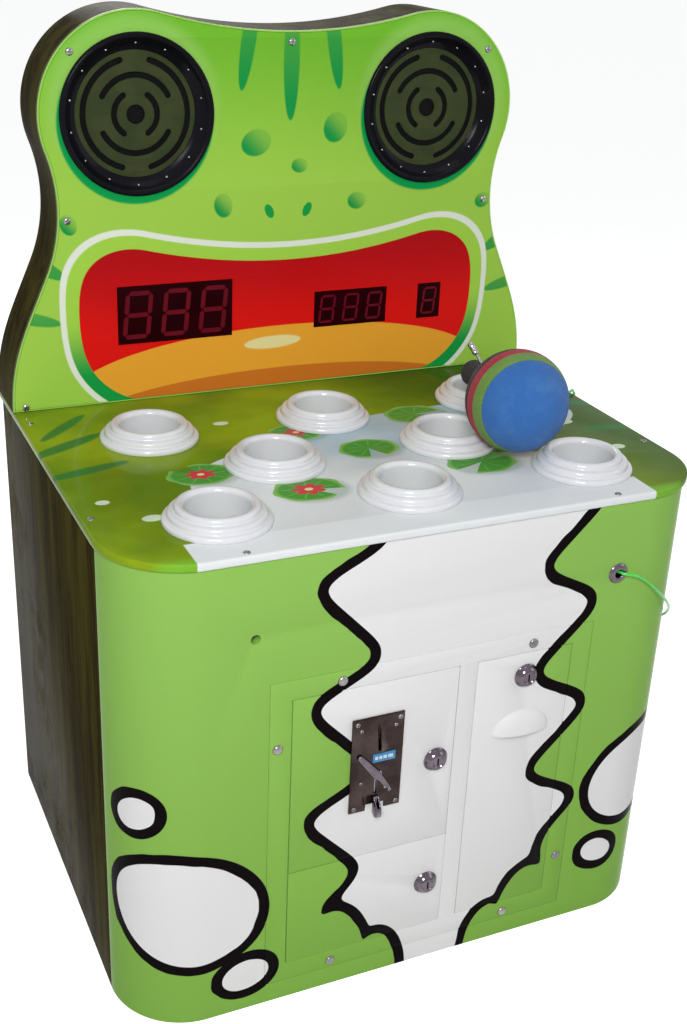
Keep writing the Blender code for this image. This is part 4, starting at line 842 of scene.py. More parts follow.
# A plate from closed outlines in local XY, the later ones cut out of the first, centred on local Z
def flatBoard(outlines, thickness, bevel, resolution=2):
    curve = bpy.data.curves.new("board", "CURVE")
    curve.dimensions = "2D"
    curve.fill_mode = "BOTH"
    curve.extrude = thickness / 2 - bevel
    curve.bevel_depth = bevel
    curve.bevel_resolution = resolution
    curve.offset = -bevel
    for outline in outlines:
        spline = curve.splines.new("POLY")
        spline.points.add(len(outline) - 1)
        spline.use_cyclic_u = True
        for point, (a, b) in zip(spline.points, outline):
            point.co = (a, b, 0, 1)
    holder = bpy.data.objects.new("board", curve)
    bpy.context.collection.objects.link(holder)
    mesh = evaluated(holder)
    bpy.data.objects.remove(holder)
    bpy.data.curves.remove(curve)
    shape = bmesh.new()
    shape.from_mesh(mesh)
    bpy.data.meshes.remove(mesh)
    bmesh.ops.remove_doubles(shape, verts=shape.verts, dist=weld)
    bmesh.ops.recalc_face_normals(shape, faces=shape.faces)
    return shape


def arc(centerX, centerY, radius, start, end, steps):
    angles = [start + (end - start) * step / steps for step in range(steps + 1)]
    return [(centerX + radius * math.cos(a), centerY + radius * math.sin(a)) for a in angles]


def circle(x, y, radius, steps):
    return arc(x, y, radius, 0, 2 * math.pi, steps)[:-1]


# The cabinet's plan outline, moved in by inset
def footprint(inset, steps):
    side = cabinet["halfWidth"] - inset
    radius = cabinet["corner"] - inset
    outline = [(-side, cabinet["back"])]
    outline += arc(-cornerX, cornerY, radius, math.pi, 1.5 * math.pi, steps)
    outline += arc(cornerX, cornerY, radius, 1.5 * math.pi, 2 * math.pi, steps)
    return outline + [(side, cabinet["back"])]


# Moves a counterclockwise outline inward, with mitred corners
def insetOutline(outline, distance):
    moved = []
    for here, point in enumerate(outline):
        before, after = Vector(outline[here - 1]), Vector(outline[(here + 1) % len(outline)])
        point = Vector(point)
        first, second = (point - before).normalized(), (after - point).normalized()
        firstNormal, secondNormal = Vector((-first.y, first.x)), Vector((-second.y, second.x))
        mitre = (firstNormal + secondNormal) / (1 + firstNormal.dot(secondNormal))
        moved.append(tuple(point + mitre * distance))
    return moved


# Geometry Nodes for what repeats

# An empty geometry tree with its given values; inputs maps each name to its kind of socket
def makeGeometryTree(name, inputs):
    tree = bpy.data.node_groups.new(name, "GeometryNodeTree")
    for label, kind in {"Geometry": "Geometry", **inputs, "Finish": "Material"}.items():
        tree.interface.new_socket(label, in_out="INPUT", socket_type="NodeSocket" + kind)
    tree.interface.new_socket("Geometry", in_out="OUTPUT", socket_type="NodeSocketGeometry")
    return tree, addNode(tree, "NodeGroupInput")


# Makes a geometry real, paints it and sends it out of its tree
def closeTree(tree, geometry, surface):
    real = addNode(tree, "GeometryNodeRealizeInstances", {"Geometry": geometry})["Geometry"]
    painted = addNode(tree, "GeometryNodeSetMaterial", {"Geometry": real, "Material": surface})["Geometry"]
    addNode(tree, "NodeGroupOutput", {"Geometry": painted})


# Sets a part on every point, turned to the point's facing, with its own size and a random spin
def makeScatterTree():
    tree, given = makeGeometryTree("setOnPoints", {"Part": "Object", "Spin": "Float", "Seed": "Int"})
    part = addNode(tree, "GeometryNodeObjectInfo", {"Object": given["Part"]})["Geometry"]
    facing = addNode(tree, "GeometryNodeInputNamedAttribute", {"Name": "facing"},
                     data_type="FLOAT_VECTOR")["Attribute"]
    share = addNode(tree, "GeometryNodeInputNamedAttribute", {"Name": "share"},
                    data_type="FLOAT")["Attribute"]
    align = addNode(tree, "FunctionNodeAlignRotationToVector", {"Vector": facing}, axis="Z")["Rotation"]
    limits = {"Min": given["Spin"] * -1.0, "Max": given["Spin"], "Seed": given["Seed"]}
    angle = addNode(tree, "FunctionNodeRandomValue", limits, data_type="FLOAT")["Value"]
    spin = addNode(tree, "FunctionNodeAxisAngleToRotation", {"Axis": (0, 0, 1), "Angle": angle})["Rotation"]
    turn = addNode(tree, "FunctionNodeRotateRotation", {"Rotation": align, "Rotate By": spin},
                   rotation_space="LOCAL")["Rotation"]
    placed = addNode(tree, "GeometryNodeInstanceOnPoints", {
        "Points": given["Geometry"], "Instance": part, "Rotation": turn, "Scale": share})["Instances"]
    closeTree(tree, placed, given["Finish"])
    return tree


# Sweeps a flat strip with rounded edges along a closed path
def makeEdgingTree():
    tree, given = makeGeometryTree("edgingStrip", {
        "Width": "Float", "Thickness": "Float", "Rounding": "Float"})
    path = addNode(tree, "GeometryNodeMeshToCurve", {"Mesh": given["Geometry"]})["Curve"]
    path = addNode(tree, "GeometryNodeSetCurveNormal", {"Curve": path}, mode="MINIMUM_TWIST")["Curve"]
    section = addNode(tree, "GeometryNodeCurvePrimitiveQuadrilateral", {
        "Width": given["Width"], "Height": given["Thickness"]})["Curve"]
    corners = {"Curve": section, "Count": 3, "Radius": given["Rounding"]}
    section = addNode(tree, "GeometryNodeFilletCurve", corners, mode="POLY")["Curve"]
    swept = addNode(tree, "GeometryNodeCurveToMesh", {"Curve": path, "Profile Curve": section})["Mesh"]
    closeTree(tree, swept, given["Finish"])
    return tree


# Runs a tree on a mesh and returns the result as a plain mesh
def runTree(tree, mesh, settings):
    holder = bpy.data.objects.new("holder", mesh)
    bpy.context.collection.objects.link(holder)
    modifier = holder.modifiers.new("Nodes", "NODES")
    modifier.node_group = tree
    for item in tree.interface.items_tree:
        if item.in_out == "INPUT" and item.name in settings:
            modifier[item.identifier] = settings[item.name]
    made = evaluated(holder)
    bpy.data.objects.remove(holder)
    return made


scatterTree = makeScatterTree()
edgingTree = makeEdgingTree()


# One mesh of a part repeated at (place, facing, share) rows
def scatter(name, part, rows, surface, body, spin=0.0, seed=1, replaced=(), smooth=40):
    mesh = bpy.data.meshes.new(name + "Points")
    mesh.from_pydata([place for place, facing, share in rows], [], [])
    mesh.attributes.new("facing", "FLOAT_VECTOR", "POINT")
    mesh.attributes.new("share", "FLOAT", "POINT")
    for index, (place, facing, share) in enumerate(rows):
        mesh.attributes["facing"].data[index].vector = facing
        mesh.attributes["share"].data[index].value = share
    partMesh = bpy.data.meshes.new(name + "Part")
    part.to_mesh(partMesh)
    part.free()
    partObject = bpy.data.objects.new(name + "Part", partMesh)
    bpy.context.collection.objects.link(partObject)
    made = runTree(scatterTree, mesh, {"Part": partObject, "Spin": spin, "Seed": seed, "Finish": surface})
    bpy.data.objects.remove(partObject)
    return addPiece(name, made, surface, body, replaced, smooth)


print("helpers ready")


# Tether
hammerSet = {
    "center": (0.1686, -0.1317, 0.6750), "direction": (0.146, 0.985, -0.095), "radius": 0.0616,
    "sides": 112, "arcSteps": (30, 8, 26), "smooth": 38,
    # degrees from the crown at which the blue, green and red layers end
    "ends": (65, 81, 96), "grip": 0.017, "reach": 0.148, "core": 0.010, "coreRise": 0.20, "neck": 0.118,
    # each layer is cut back by nick degrees and drawn in by lip where it meets the next
    "nick": 1.1, "lip": 0.0007, "joint": 0.0001,
    # (outward, along) in millimetres from the grip's side: its root, one rib and its rounded end
    "root": [(1.2, 0.6), (0.3, 2.2)], "rib": [(0, 0), (0, 3.4), (-0.5, 3.8), (-0.5, 4.4), (0, 4.8)],
    "pommel": [(0, -4.0), (-0.3, -2.6), (-1.1, -1.2), (-2.4, -0.3), (-4.0, 0)],
    "ribsFrom": 0.006, "ribsUntil": 0.010, "ribPitch": 0.0048, "ballFoot": 3,
    "ferruleFoot": (0.0189, 0.1162, 0.0046), "ferruleTip": (0.0094, 0.1372, 0.0288), "ferruleSunk": 0.001,
    # (radius, distance from the tip) in millimetres
    "ferrule": [(1.8, -17.2), (2.6, -17.0), (3.6, -16.6), (4.0, -15.8), (4.0, -11.0), (3.6, -10.2),
                (3.6, -8.8), (4.0, -8.0), (4.0, -1.2), (3.6, -0.3), (2.8, 0), (0, 0)],
    "ferruleNeck": 0.0018, "ferruleSides": 40,
}
hammerCenter = Vector(hammerSet["center"])
hammerAxis = Vector(hammerSet["direction"]).normalized()
tetherSet = {
    "radius": 0.00175, "steps": 80, "spanSteps": 12, "roundness": 4, "length": 0.872, "clear": 0.05,
    # the points where the cord leaves the cabinet and where it joins the hammer
    "leaves": (0.325, -0.010, 0.608), "joins": (0.242, -0.010, 0.691),
    # x, distance behind the front and z, from inside the eyelet to the hammer's grip
    "route": [
        (0.2380, 0.016, 0.5050), (0.2382, 0.004, 0.5052), (0.2405, -0.0045, 0.5058),
        (0.2480, -0.0078, 0.5048), (0.2620, -0.0076, 0.4995), (0.2785, -0.0068, 0.4875),
        (0.2960, -0.0045, 0.4715), (0.3190, 0.0065, 0.4500), (0.3440, 0.0290, 0.4230),
        (0.3595, 0.0590, 0.3950), (0.3660, 0.1080, 0.3640), (0.3670, 0.1680, 0.3440),
        (0.3670, 0.2260, 0.3560), (0.3675, 0.2700, 0.4060), (0.3680, 0.2960, 0.4760),
        (0.3690, 0.3120, 0.5450), (0.3705, 0.3190, 0.5900), (0.3690, 0.3195, 0.6055),
        (0.3635, 0.3160, 0.6103), (0.3500, 0.3090, 0.6086), (0.3250, 0.2960, 0.6082),
        (0.3000, 0.2820, 0.6082), (0.2750, 0.2690, 0.6082), (0.2480, 0.2590, 0.6083),
        (0.2240, 0.2560, 0.6092), (0.2050, 0.2570, 0.6140), (0.1920, 0.2590, 0.6250),
        (0.1868, 0.2608, 0.6360)],
}


# Evenly spaced points on a Catmull-Rom curve through the route
def smoothRoute(points, count, spanSteps):
    fine = []
    padded = [points[0] * 2 - points[1]] + points + [points[-1] * 2 - points[-2]]
    for here in range(1, len(padded) - 2):
        p0, p1, p2, p3 = padded[here - 1:here + 3]
        for step in range(spanSteps):
            t = step / spanSteps
            fine.append(0.5 * (2 * p1 + (p2 - p0) * t + (2 * p0 - 5 * p1 + 4 * p2 - p3) * t * t
                               + (3 * p1 - p0 - 3 * p2 + p3) * t ** 3))
    fine.append(points[-1])
    lengths = [0]
    for before, after in zip(fine, fine[1:]):
        lengths.append(lengths[-1] + (after - before).length)
    route = []
    place = 0
    for step in range(count):
        target = lengths[-1] * step / (count - 1)
        while place < len(lengths) - 2 and lengths[place + 1] < target:
            place += 1
        share = (target - lengths[place]) / (lengths[place + 1] - lengths[place])
        route.append(fine[place].lerp(fine[place + 1], share))
    return route


def makeTether():
    radius = tetherSet["radius"]
    down = Vector((0, 0, -1))
    down = (down - hammerAxis * hammerAxis.dot(down)).normalized()
    below = hammerSet["grip"] + cabinet["gap"] + radius * tetherSet["clear"]
    end = hammerCenter + hammerAxis * hammerSet["neck"] + down * below
    points = [Vector((x, cabinet["front"] + y, z)) for x, y, z in tetherSet["route"]]
    points += [end + down * radius, end]
    route = smoothRoute(points, tetherSet["steps"], tetherSet["spanSteps"])
    curve = bpy.data.curves.new("tetherCord", "CURVE")
    curve.dimensions = "3D"
    curve.bevel_depth = radius
    curve.bevel_resolution = tetherSet["roundness"]
    curve.use_fill_caps = True
    line = curve.splines.new("POLY")
    line.points.add(len(route) - 1)
    line.use_smooth = True
    for place, point in zip(line.points, route):
        place.co = (*point, 1)
    curve.materials.append(finish["cordCoat"])
    holder = bpy.data.objects.new("tetherLine", curve)
    cord = bpy.data.objects.new("tetherCord", bpy.data.meshes.new_from_object(holder))
    bpy.data.objects.remove(holder)
    bpy.context.collection.objects.link(cord)
    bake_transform(cord)
    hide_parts("tether")


makeCamera()
makeLamps()
makeWorld()
makeFloor()
makeTether()
print("camera, light and tether set")


# Cabinet
frontSet = {"bevel": 0.0006, "cornerSteps": 28, "frame": (-0.198, 0.211, 0.027, 0.446),
            "eyelet": (0.2364, 0.505), "eyeletHole": 0.0088, "spare": (-0.2155, 0.505), "spareHole": 0.0055,
            "holeSides": 40}
deckSet = {"bevel": 0.0028, "bevelSteps": 4, "cornerSteps": 28, "hole": 0.0398, "holeSides": 64}
boardRound = 0.0008


# The front board with its openings, laid out flat and then bent round both corners
def makeFrontSkin():
    half = cornerX + cabinet["corner"] * math.pi / 2
    left, right, low, high = frontSet["frame"]
    gap, steps = cabinet["gap"], frontSet["cornerSteps"]
    outlines = [rectangle(-half, half, 0, cabinet["panelTop"]),
                rectangle(left - gap, right + gap, low - gap, high + gap),
                circle(*frontSet["eyelet"], frontSet["eyeletHole"], frontSet["holeSides"]),
                circle(*frontSet["spare"], frontSet["spareHole"], frontSet["holeSides"])]
    shape = flatBoard(outlines, cabinet["board"], frontSet["bevel"])
    for side in (-1, 1):
        for index in range(steps):
            cut = side * (cornerX + (half - cornerX) * index / steps)
            bmesh.ops.bisect_plane(shape, geom=shape.verts[:] + shape.edges[:] + shape.faces[:],
                                   dist=weld / 2, plane_co=(cut, 0, 0), plane_no=(1, 0, 0))
    for vert in shape.verts:
        u, z, depth = vert.co.x, vert.co.y, cabinet["board"] / 2 - vert.co.z
        if abs(u) <= cornerX:
            vert.co = (u, cabinet["front"] + depth, z)
        else:
            bend = (abs(u) - cornerX) / cabinet["corner"]
            radius = cabinet["corner"] - depth
            x = math.copysign(cornerX + radius * math.sin(bend), u)
            vert.co = (x, cornerY - radius * math.cos(bend), z)
    bmesh.ops.recalc_face_normals(shape, faces=shape.faces)
    addPiece("frontSkin", shape, finish["frontPrint"], "cabinet", ["front_panel"], smooth=30)


def makeDeckTop():
    outlines = [footprint(-cabinet["overhang"], deckSet["cornerSteps"])]
    outlines += [circle(x, y, deckSet["hole"], deckSet["holeSides"]) for x, y in holes]
    thickness = deckTop - cabinet["deckLow"]
    shape = flatBoard(outlines, thickness, deckSet["bevel"], deckSet["bevelSteps"])
    bmesh.ops.translate(shape, verts=shape.verts, vec=(0, 0, cabinet["deckLow"] + thickness / 2))
    addPiece("deckTop", shape, finish["deckPrint"], "cabinet", ["deck_board"], smooth=40)


makeFrontSkin()
makeDeckTop()
for piece, node in (("sideBoardLeft", "left_side_panel"), ("sideBoardRight", "right_side_panel"),
                    ("rearBoard", "rear_panel")):
    softNode(piece, node, finish["darkLaminate"], "cabinet", boardRound)
print("cabinet dressed")


# Rings and targets
ringSet = {
    "sides": 96,
    # (radius, height) in millimetres, from the bore's foot up over the three tiers and down the outside
    "profile": [(36.0, -30), (39.5, -30), (39.5, 0.3), (59.2, 0.3), (59.7, 1.0), (59.7, 3.2), (59.4, 4.8),
                (58.7, 6.0), (57.6, 6.8), (56.2, 7.3), (54.9, 7.5), (54.2, 7.8), (53.9, 8.5), (53.8, 10.6),
                (53.4, 12.2), (52.6, 13.4), (51.4, 14.2), (50.0, 14.6), (48.4, 14.8), (47.3, 15.0),
                (46.7, 15.5), (46.5, 16.3), (46.3, 18.4), (45.7, 20.0), (44.6, 21.1), (43.2, 21.8),
                (41.6, 22.0), (40.0, 21.8), (38.6, 21.1), (37.4, 20.0), (36.5, 18.6), (36.05, 17.0),
                (36.0, 15.0)],
}
targetSet = {
    "sides": 64, "radius": 0.033, "drop": 0.016, "height": 0.060, "domeShare": 0.936, "domeSteps": 10,
    "domeAngle": 60,
    # (radius, depth) down the skirt, as shares of the radius and the height
    "skirtShares": [(1, 0.52), (1, 0.88), (0.97, 0.95), (0.85, 1)],
    "stem": 0.009, "rod": 0.005, "stemFoot": 0.4423, "chamfer": 0.001,
}


def makeRings():
    ring = turned(inMetres(ringSet["profile"]), ringSet["sides"], ring=True)
    places = [((x, y, deckTop), (0, 0, 1), 1.0) for x, y in holes]
    scatter("holeRings", ring, places, finish["ringPlastic"], "cabinet",
            replaced=[f"ring_{number}" for number in range(1, 9)], smooth=50)


# Fine domes on a skirt, a stem and a rod
def makeTargets():
    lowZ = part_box("target_1")[0].z
    top = deckTop - targetSet["drop"]
    radius, height, chamfer = targetSet["radius"], targetSet["height"], targetSet["chamfer"]
    stem, rod, foot = targetSet["stem"], targetSet["rod"], targetSet["stemFoot"]
    profile = []
    for step in range(targetSet["domeSteps"] + 1):
        angle = math.radians(targetSet["domeAngle"] * step / targetSet["domeSteps"])
        fall = radius * targetSet["domeShare"] * (1 - math.cos(angle))
        profile.append((radius * math.sin(angle), top - fall))
    profile += [(radius * wide, top - height * deep) for wide, deep in targetSet["skirtShares"]]
    profile += [(stem, top - height), (stem, foot), (rod, foot), (rod, lowZ + chamfer), (rod - chamfer, lowZ),
                (0, lowZ)]
    for number, (x, y) in enumerate(holes, start=1):
        node = f"target_{number}"
        shape = turned(profile, targetSet["sides"], Matrix.Translation((x, y, 0)))
        addPiece(f"popTarget{number}", shape, finish["targetPlastic"], node, [node],
                 smooth=40)


makeRings()
makeTargets()
print("rings and targets set")


# Headboard
headSet = {"footPull": 0.38, "waistPull": 0.42, "eyeHole": 0.0875, "holeSides": 96, "bevel": 0.0005,
           "ease": 0.0008, "slack": 0.0002, "stripRound": 0.0007,
           # steps along the foot's curve, the waist, the bump and half the dip
           "steps": (36, 28, 56, 20)}


# The headboard's outline above the deck, counterclockwise from its right foot
def headOutline():
    low, upper = math.radians(head["waistLow"]), math.radians(head["waistAngle"])
    footSteps, waistSteps, bumpSteps, dipSteps = headSet["steps"]
    bump = Vector((head["bumpX"], head["bumpZ"]))
    waist = bump + (head["bump"] + head["waist"]) * Vector((math.cos(upper), math.sin(upper)))
    foot = Vector((head["halfBase"], 0))
    waistLow = waist + head["waist"] * Vector((math.cos(low), math.sin(low)))
    rise = Vector((math.sin(low), -math.cos(low)))
    span = (waistLow - foot).length
    footHandle = foot + Vector((0, span * headSet["footPull"]))
    waistHandle = waistLow - rise * span * headSet["waistPull"]
    dipZ = bump.y + math.sqrt((head["bump"] + head["dip"]) ** 2 - bump.x ** 2)
    dipAngle = math.atan2(dipZ - bump.y, -bump.x)
    half = []
    for step in range(footSteps):
        t = step / footSteps
        s = 1 - t
        half.append(tuple(foot * s ** 3 + footHandle * 3 * s * s * t + waistHandle * 3 * s * t * t
                          + waistLow * t ** 3))
    half += arc(waist.x, waist.y, head["waist"], low, upper + math.pi, waistSteps)[:-1]
    half += arc(bump.x, bump.y, head["bump"], upper, dipAngle, bumpSteps)[:-1]
    half += arc(0, dipZ, head["dip"], dipAngle - math.pi, -math.pi / 2, dipSteps)
    return half + [(-x, z) for x, z in reversed(half[:-1])]


# Stands an outline up at a depth, with its foot on the deck
def upright(outline, depth):
    return [(x, depth, deckTop + cabinet["gap"] + z) for x, z in outline]


def makeHeadFace(outline):
    gap = cabinet["gap"]
    cuts = [circle(sign * head["bumpX"], head["bumpZ"] - gap, headSet["eyeHole"], headSet["holeSides"])
            for sign in (-1, 1)]
    cuts += [rectangle(left - gap, right + gap, low - 2 * gap, high) for left, right, low, high in windows]
    board = flatBoard([insetOutline(outline, head["trim"])] + cuts, head["thick"], headSet["bevel"])
    for vert in board.verts:
        depth = head["face"] + head["thick"] / 2 - vert.co.z
        vert.co = (vert.co.x, depth, deckTop + gap + vert.co.y)
    bmesh.ops.recalc_face_normals(board, faces=board.faces)
    addPiece("headFace", board, finish["facePrint"], "cabinet", ["headboard_face"], smooth=35)


def makeHeadShell(outline):
    ease, wall, back = headSet["ease"], head["wall"], cabinet["back"]
    rim = head["face"] + head["thick"] + cabinet["gap"]
    eased = insetOutline(outline, ease)
    inner = insetOutline(outline, wall)
    shell = stack([upright(eased, back), upright(outline, back - ease), upright(outline, rim + ease),
                   upright(eased, rim), upright(inner, rim), upright(inner, back - wall)])
    addPiece("headShell", shell, finish["darkLaminate"], "cabinet", ["headboard_shell"],
             smooth=35)


def makeHeadEdging(outline):
    slack = headSet["slack"]
    middle = upright(insetOutline(outline, head["trim"] / 2), head["face"] + head["thick"] / 2 + slack)
    path = bpy.data.meshes.new("edgingPath")
    path.from_pydata(middle, [(here, (here + 1) % len(middle)) for here in range(len(middle))], [])
    strip = runTree(edgingTree, path, {
        "Width": head["thick"] - slack, "Thickness": head["trim"] - 2 * slack,
        "Rounding": headSet["stripRound"], "Finish": finish["edging"]})
    addPiece("headEdging", strip, finish["edging"], "cabinet", smooth=40)


headEdge = headOutline()
makeHeadFace(headEdge)
makeHeadShell(headEdge)
makeHeadEdging(headEdge)
print("headboard dressed")


# Eyes
eyeSet = {
    "sides": 128, "height": deckTop + head["bumpZ"],
    # (radius, depth) in millimetres, front lip first
    "bowl": [(95.0, -0.3), (94.9, -1.6), (94.4, -2.9), (93.4, -3.8), (92.0, -4.3), (90.6, -4.4), (89.4, -3.9),
             (88.4, -3.1), (87.5, -2.2), (86.4, -0.6), (84.0, 2.6), (80.6, 5.9), (77.4, 8.2), (74.9, 9.2),
             (74.3, 9.6), (74.3, 13.0), (77.3, 13.0), (86.4, 5.2), (87.1, -0.3)],
    "grilleFront": 0.0095, "grilleThick": 0.0025, "grilleBevel": 0.0004,
    # shares of the eye's radius
    "grilleShare": 0.779, "grilleSides": 120, "hubShare": 0.12, "hubSides": 40, "slotShare": 0.075,
    # share of the eye's radius, then middle and half span in degrees
    "slots": [(0.28, 0, 56), (0.28, 180, 56), (0.48, 90, 62), (0.48, 270, 62), (0.68, 0, 74),
              (0.68, 180, 74)],
    "lights": 14, "lightRing": 0.0822, "lightDepth": 0.0044, "lightLean": 0.62, "lightAhead": 0.78,
    "lightSides": 16,
    # (radius, height) in millimetres
    "light": [(0, 1.4), (0.8, 1.3), (1.4, 0.9), (1.7, 0.2), (1.8, -0.8), (0, -1.0)],
}


def slotOutline(radius, width, middle, halfSpan, steps=20, endSteps=8):
    start, end, half = middle - halfSpan, middle + halfSpan, width / 2
    outline = arc(0, 0, radius + half, start, end, steps)
    outline += arc(radius * math.cos(end), radius * math.sin(end), half, end, end + math.pi, endSteps)[1:-1]
    outline += arc(0, 0, radius - half, end, start, steps)
    outline += arc(radius * math.cos(start), radius * math.sin(start), half, start + math.pi,
                   start + 2 * math.pi, endSteps)[1:-1]
    return outline


def makeEyeBowls():
    bowl = turned(inMetres(eyeSet["bowl"]), eyeSet["sides"], ring=True)
    places = [((side * head["bumpX"], head["face"], eyeSet["height"]), (0, 1, 0), 1.0) for side in (-1, 1)]
    scatter("eyeBowls", bowl, places, finish["glossBlack"], "cabinet",
            replaced=["left_eye_bezel", "right_eye_bezel"], smooth=35)


# Slotted plates that face -Y
def makeEyeGrilles():
    outlines = [circle(0, 0, eyeRadius * eyeSet["grilleShare"], eyeSet["grilleSides"]),
                circle(0, 0, eyeRadius * eyeSet["hubShare"], eyeSet["hubSides"])]
    outlines += [slotOutline(eyeRadius * share, eyeRadius * eyeSet["slotShare"], math.radians(middle),
                             math.radians(half)) for share, middle, half in eyeSet["slots"]]
    grille = flatBoard(outlines, eyeSet["grilleThick"], eyeSet["grilleBevel"])
    depth = head["face"] + eyeSet["grilleFront"] + eyeSet["grilleThick"] / 2
    pair = bmesh.new()
    for side in (-1, 1):
        copy = grille.copy()
        for vert in copy.verts:
            vert.co = (side * head["bumpX"] + vert.co.x, depth - vert.co.z, eyeSet["height"] + vert.co.y)
        join(pair, copy)
    grille.free()
    bmesh.ops.recalc_face_normals(pair, faces=pair.faces)
    addPiece("eyeGrilles", pair, finish["grillePaint"], "cabinet",
             ["left_eye_grille", "right_eye_grille"], smooth=35)


# Small lights round each bowl, leaning in towards its middle
def makeEyeLights():
    ring, lean, depth = eyeSet["lightRing"], eyeSet["lightLean"], head["face"] + eyeSet["lightDepth"]
    places = []
    for side in (-1, 1):
        for index in range(eyeSet["lights"]):
            angle = 2 * math.pi * (index + 0.5) / eyeSet["lights"]
            across, up = math.cos(angle), math.sin(angle)
            facing = Vector((-lean * across, -eyeSet["lightAhead"], -lean * up)).normalized()
            place = (side * head["bumpX"] + ring * across, depth, eyeSet["height"] + ring * up)
            places.append((place, tuple(facing), 1.0))
    light = turned(inMetres(eyeSet["light"]), eyeSet["lightSides"])
    scatter("eyeLights", light, places, finish["boltSteel"], "cabinet")


makeEyeBowls()
makeEyeGrilles()
makeEyeLights()
print("eyes set")


# Displays
displaySet = {"proud": 0.0008, "lift": 0.00012, "slant": 0.10, "cutShare": 0.14,
              # window number, count, pitch, height, width, stroke
              "rows": [(0, 3, 0.0500, 0.0560, 0.0300, 0.0058), (1, 3, 0.0345, 0.0350, 0.0190, 0.0032),
                       (2, 1, 0.0, 0.0350, 0.0180, 0.0032)]}


# Seven bars with pointed ends, leaning to the right
def digitShape(height, width, stroke):
    half, tall, thin = width / 2, height / 2, stroke / 2
    middles = [(0, tall, False), (0, 0, False), (0, -tall, False)]
    middles += [(x, z, True) for z in (tall / 2, -tall / 2) for x in (-half, half)]
    shape = bmesh.new()
    for x, z, upward in middles:
        reach = (tall if upward else width) / 2 - stroke * displaySet["cutShare"]
        bar = [(-reach, 0), (thin - reach, -thin), (reach - thin, -thin), (reach, 0), (reach - thin, thin),
               (thin - reach, thin)]
        if upward:
            bar = [(-b, a) for a, b in bar]
        join(shape, stack([[(x + a + displaySet["slant"] * (z + b), depth, z + b) for a, b in bar]
                           for depth in (0.0, -displaySet["lift"])]))
    return shape


def makeDigits():
    whole = bmesh.new()
    depth = head["face"] - displaySet["proud"]
    for number, count, pitch, height, width, stroke in displaySet["rows"]:
        left, right, low, high = windows[number]
        for index in range(count):
            middle = (left + right) / 2 + (index - (count - 1) / 2) * pitch
            digit = digitShape(height, width, stroke)
            bmesh.ops.translate(digit, verts=digit.verts, vec=(middle, depth, deckTop + (low + high) / 2))
            join(whole, digit)
    addPiece("displayDigits", whole, finish["segment"], "cabinet", smooth=30)


makeDigits()
print("digits set")


# Doors and locks
doorSet = {"round": 0.0014, "service": (0.058, 0.1845, 0.055, 0.420), "depth": 0.012, "sheet": 0.002,
           # the depths that the tray is cut to, and its lock hole from and to
           "trayCut": 0.020, "holeCut": (-0.005, 0.010), "lockHole": 0.0098, "holeSides": 48,
           "serviceLock": (0.124, 0.390),
           "pull": {"x": 0.124, "z": 0.314, "halfWidth": 0.038, "height": 0.029, "reach": 0.012,
                    "wall": 0.002, "sunk": 0.0004, "weld": 0.00001, "steps": 32, "layers": 12}}
lockSet = {"sides": 72,
           # (radius, height) in millimetres, from the middle of the face out and in again to the body's end
           "profile": [(0, 7.4), (5.6, 7.4), (6.4, 7.5), (6.9, 8.0), (7.4, 8.5), (8.2, 8.6), (9.2, 8.3),
                       (10.4, 7.5), (11.6, 6.3), (12.8, 4.8), (13.8, 3.2), (14.6, 1.9), (15.2, 1.3),
                       (15.5, 0.9), (15.5, 0.36), (9.5, 0.36), (9.5, -15.7), (0, -15.7)],
           # left, right, front, back, low and high of the keyway and of the cam, along the lock's own axes
           "keyway": (-0.0010, 0.0010, -0.0050, 0.0050, -0.012, -0.0032),
           "cam": (-0.006, 0.038, 0, 0.0025, -0.006, 0.006), "camRound": 0.0007, "camDepth": 0.0132,
           "locks": [("coin", "coin_lock", 0.011, 0.300, 90), ("cash", "cash_lock", 0.011, 0.119, 90),
                     ("service", "service_lock", 0.124, 0.390, 0)]}


# Cuts one bmesh from another with an exact Boolean and returns the result
def cutWith(shape, cutter):
    things = []
    for part in (shape, cutter):
        mesh = bpy.data.meshes.new("part")
        part.to_mesh(mesh)
        part.free()
        things.append(bpy.data.objects.new("part", mesh))
        bpy.context.collection.objects.link(things[-1])
    body, tool = things
    step = body.modifiers.new("Cut", "BOOLEAN")
    step.operation = "DIFFERENCE"
    step.solver = "EXACT"
    step.object = tool
    made = evaluated(body)
    result = bmesh.new()
    result.from_mesh(made)
    meshes = [body.data, tool.data, made]
    for thing in things:
        bpy.data.objects.remove(thing)
    for mesh in meshes:
        bpy.data.meshes.remove(mesh)
    return result


def makeLocks():
    profile = [(radius, -height) for radius, height in inMetres(lockSet["profile"])]
    for label, node, x, z, camTurn in lockSet["locks"]:
        plug = cutWith(turned(profile, lockSet["sides"]), box(*lockSet["keyway"]))
        bmesh.ops.transform(plug, matrix=facingBack(x, cabinet["front"], z), verts=plug.verts)
        cam = soften(box(*lockSet["cam"]), lockSet["camRound"])
        place = Matrix.Translation((x, cabinet["front"] + lockSet["camDepth"], z))
        turn = Matrix.Rotation(math.radians(camTurn), 4, "Y")
        bmesh.ops.transform(cam, matrix=place @ turn, verts=cam.verts)
        addPiece(label + "Lock", join(plug, cam), finish["lockChrome"], node, [node],
                 smooth=30)


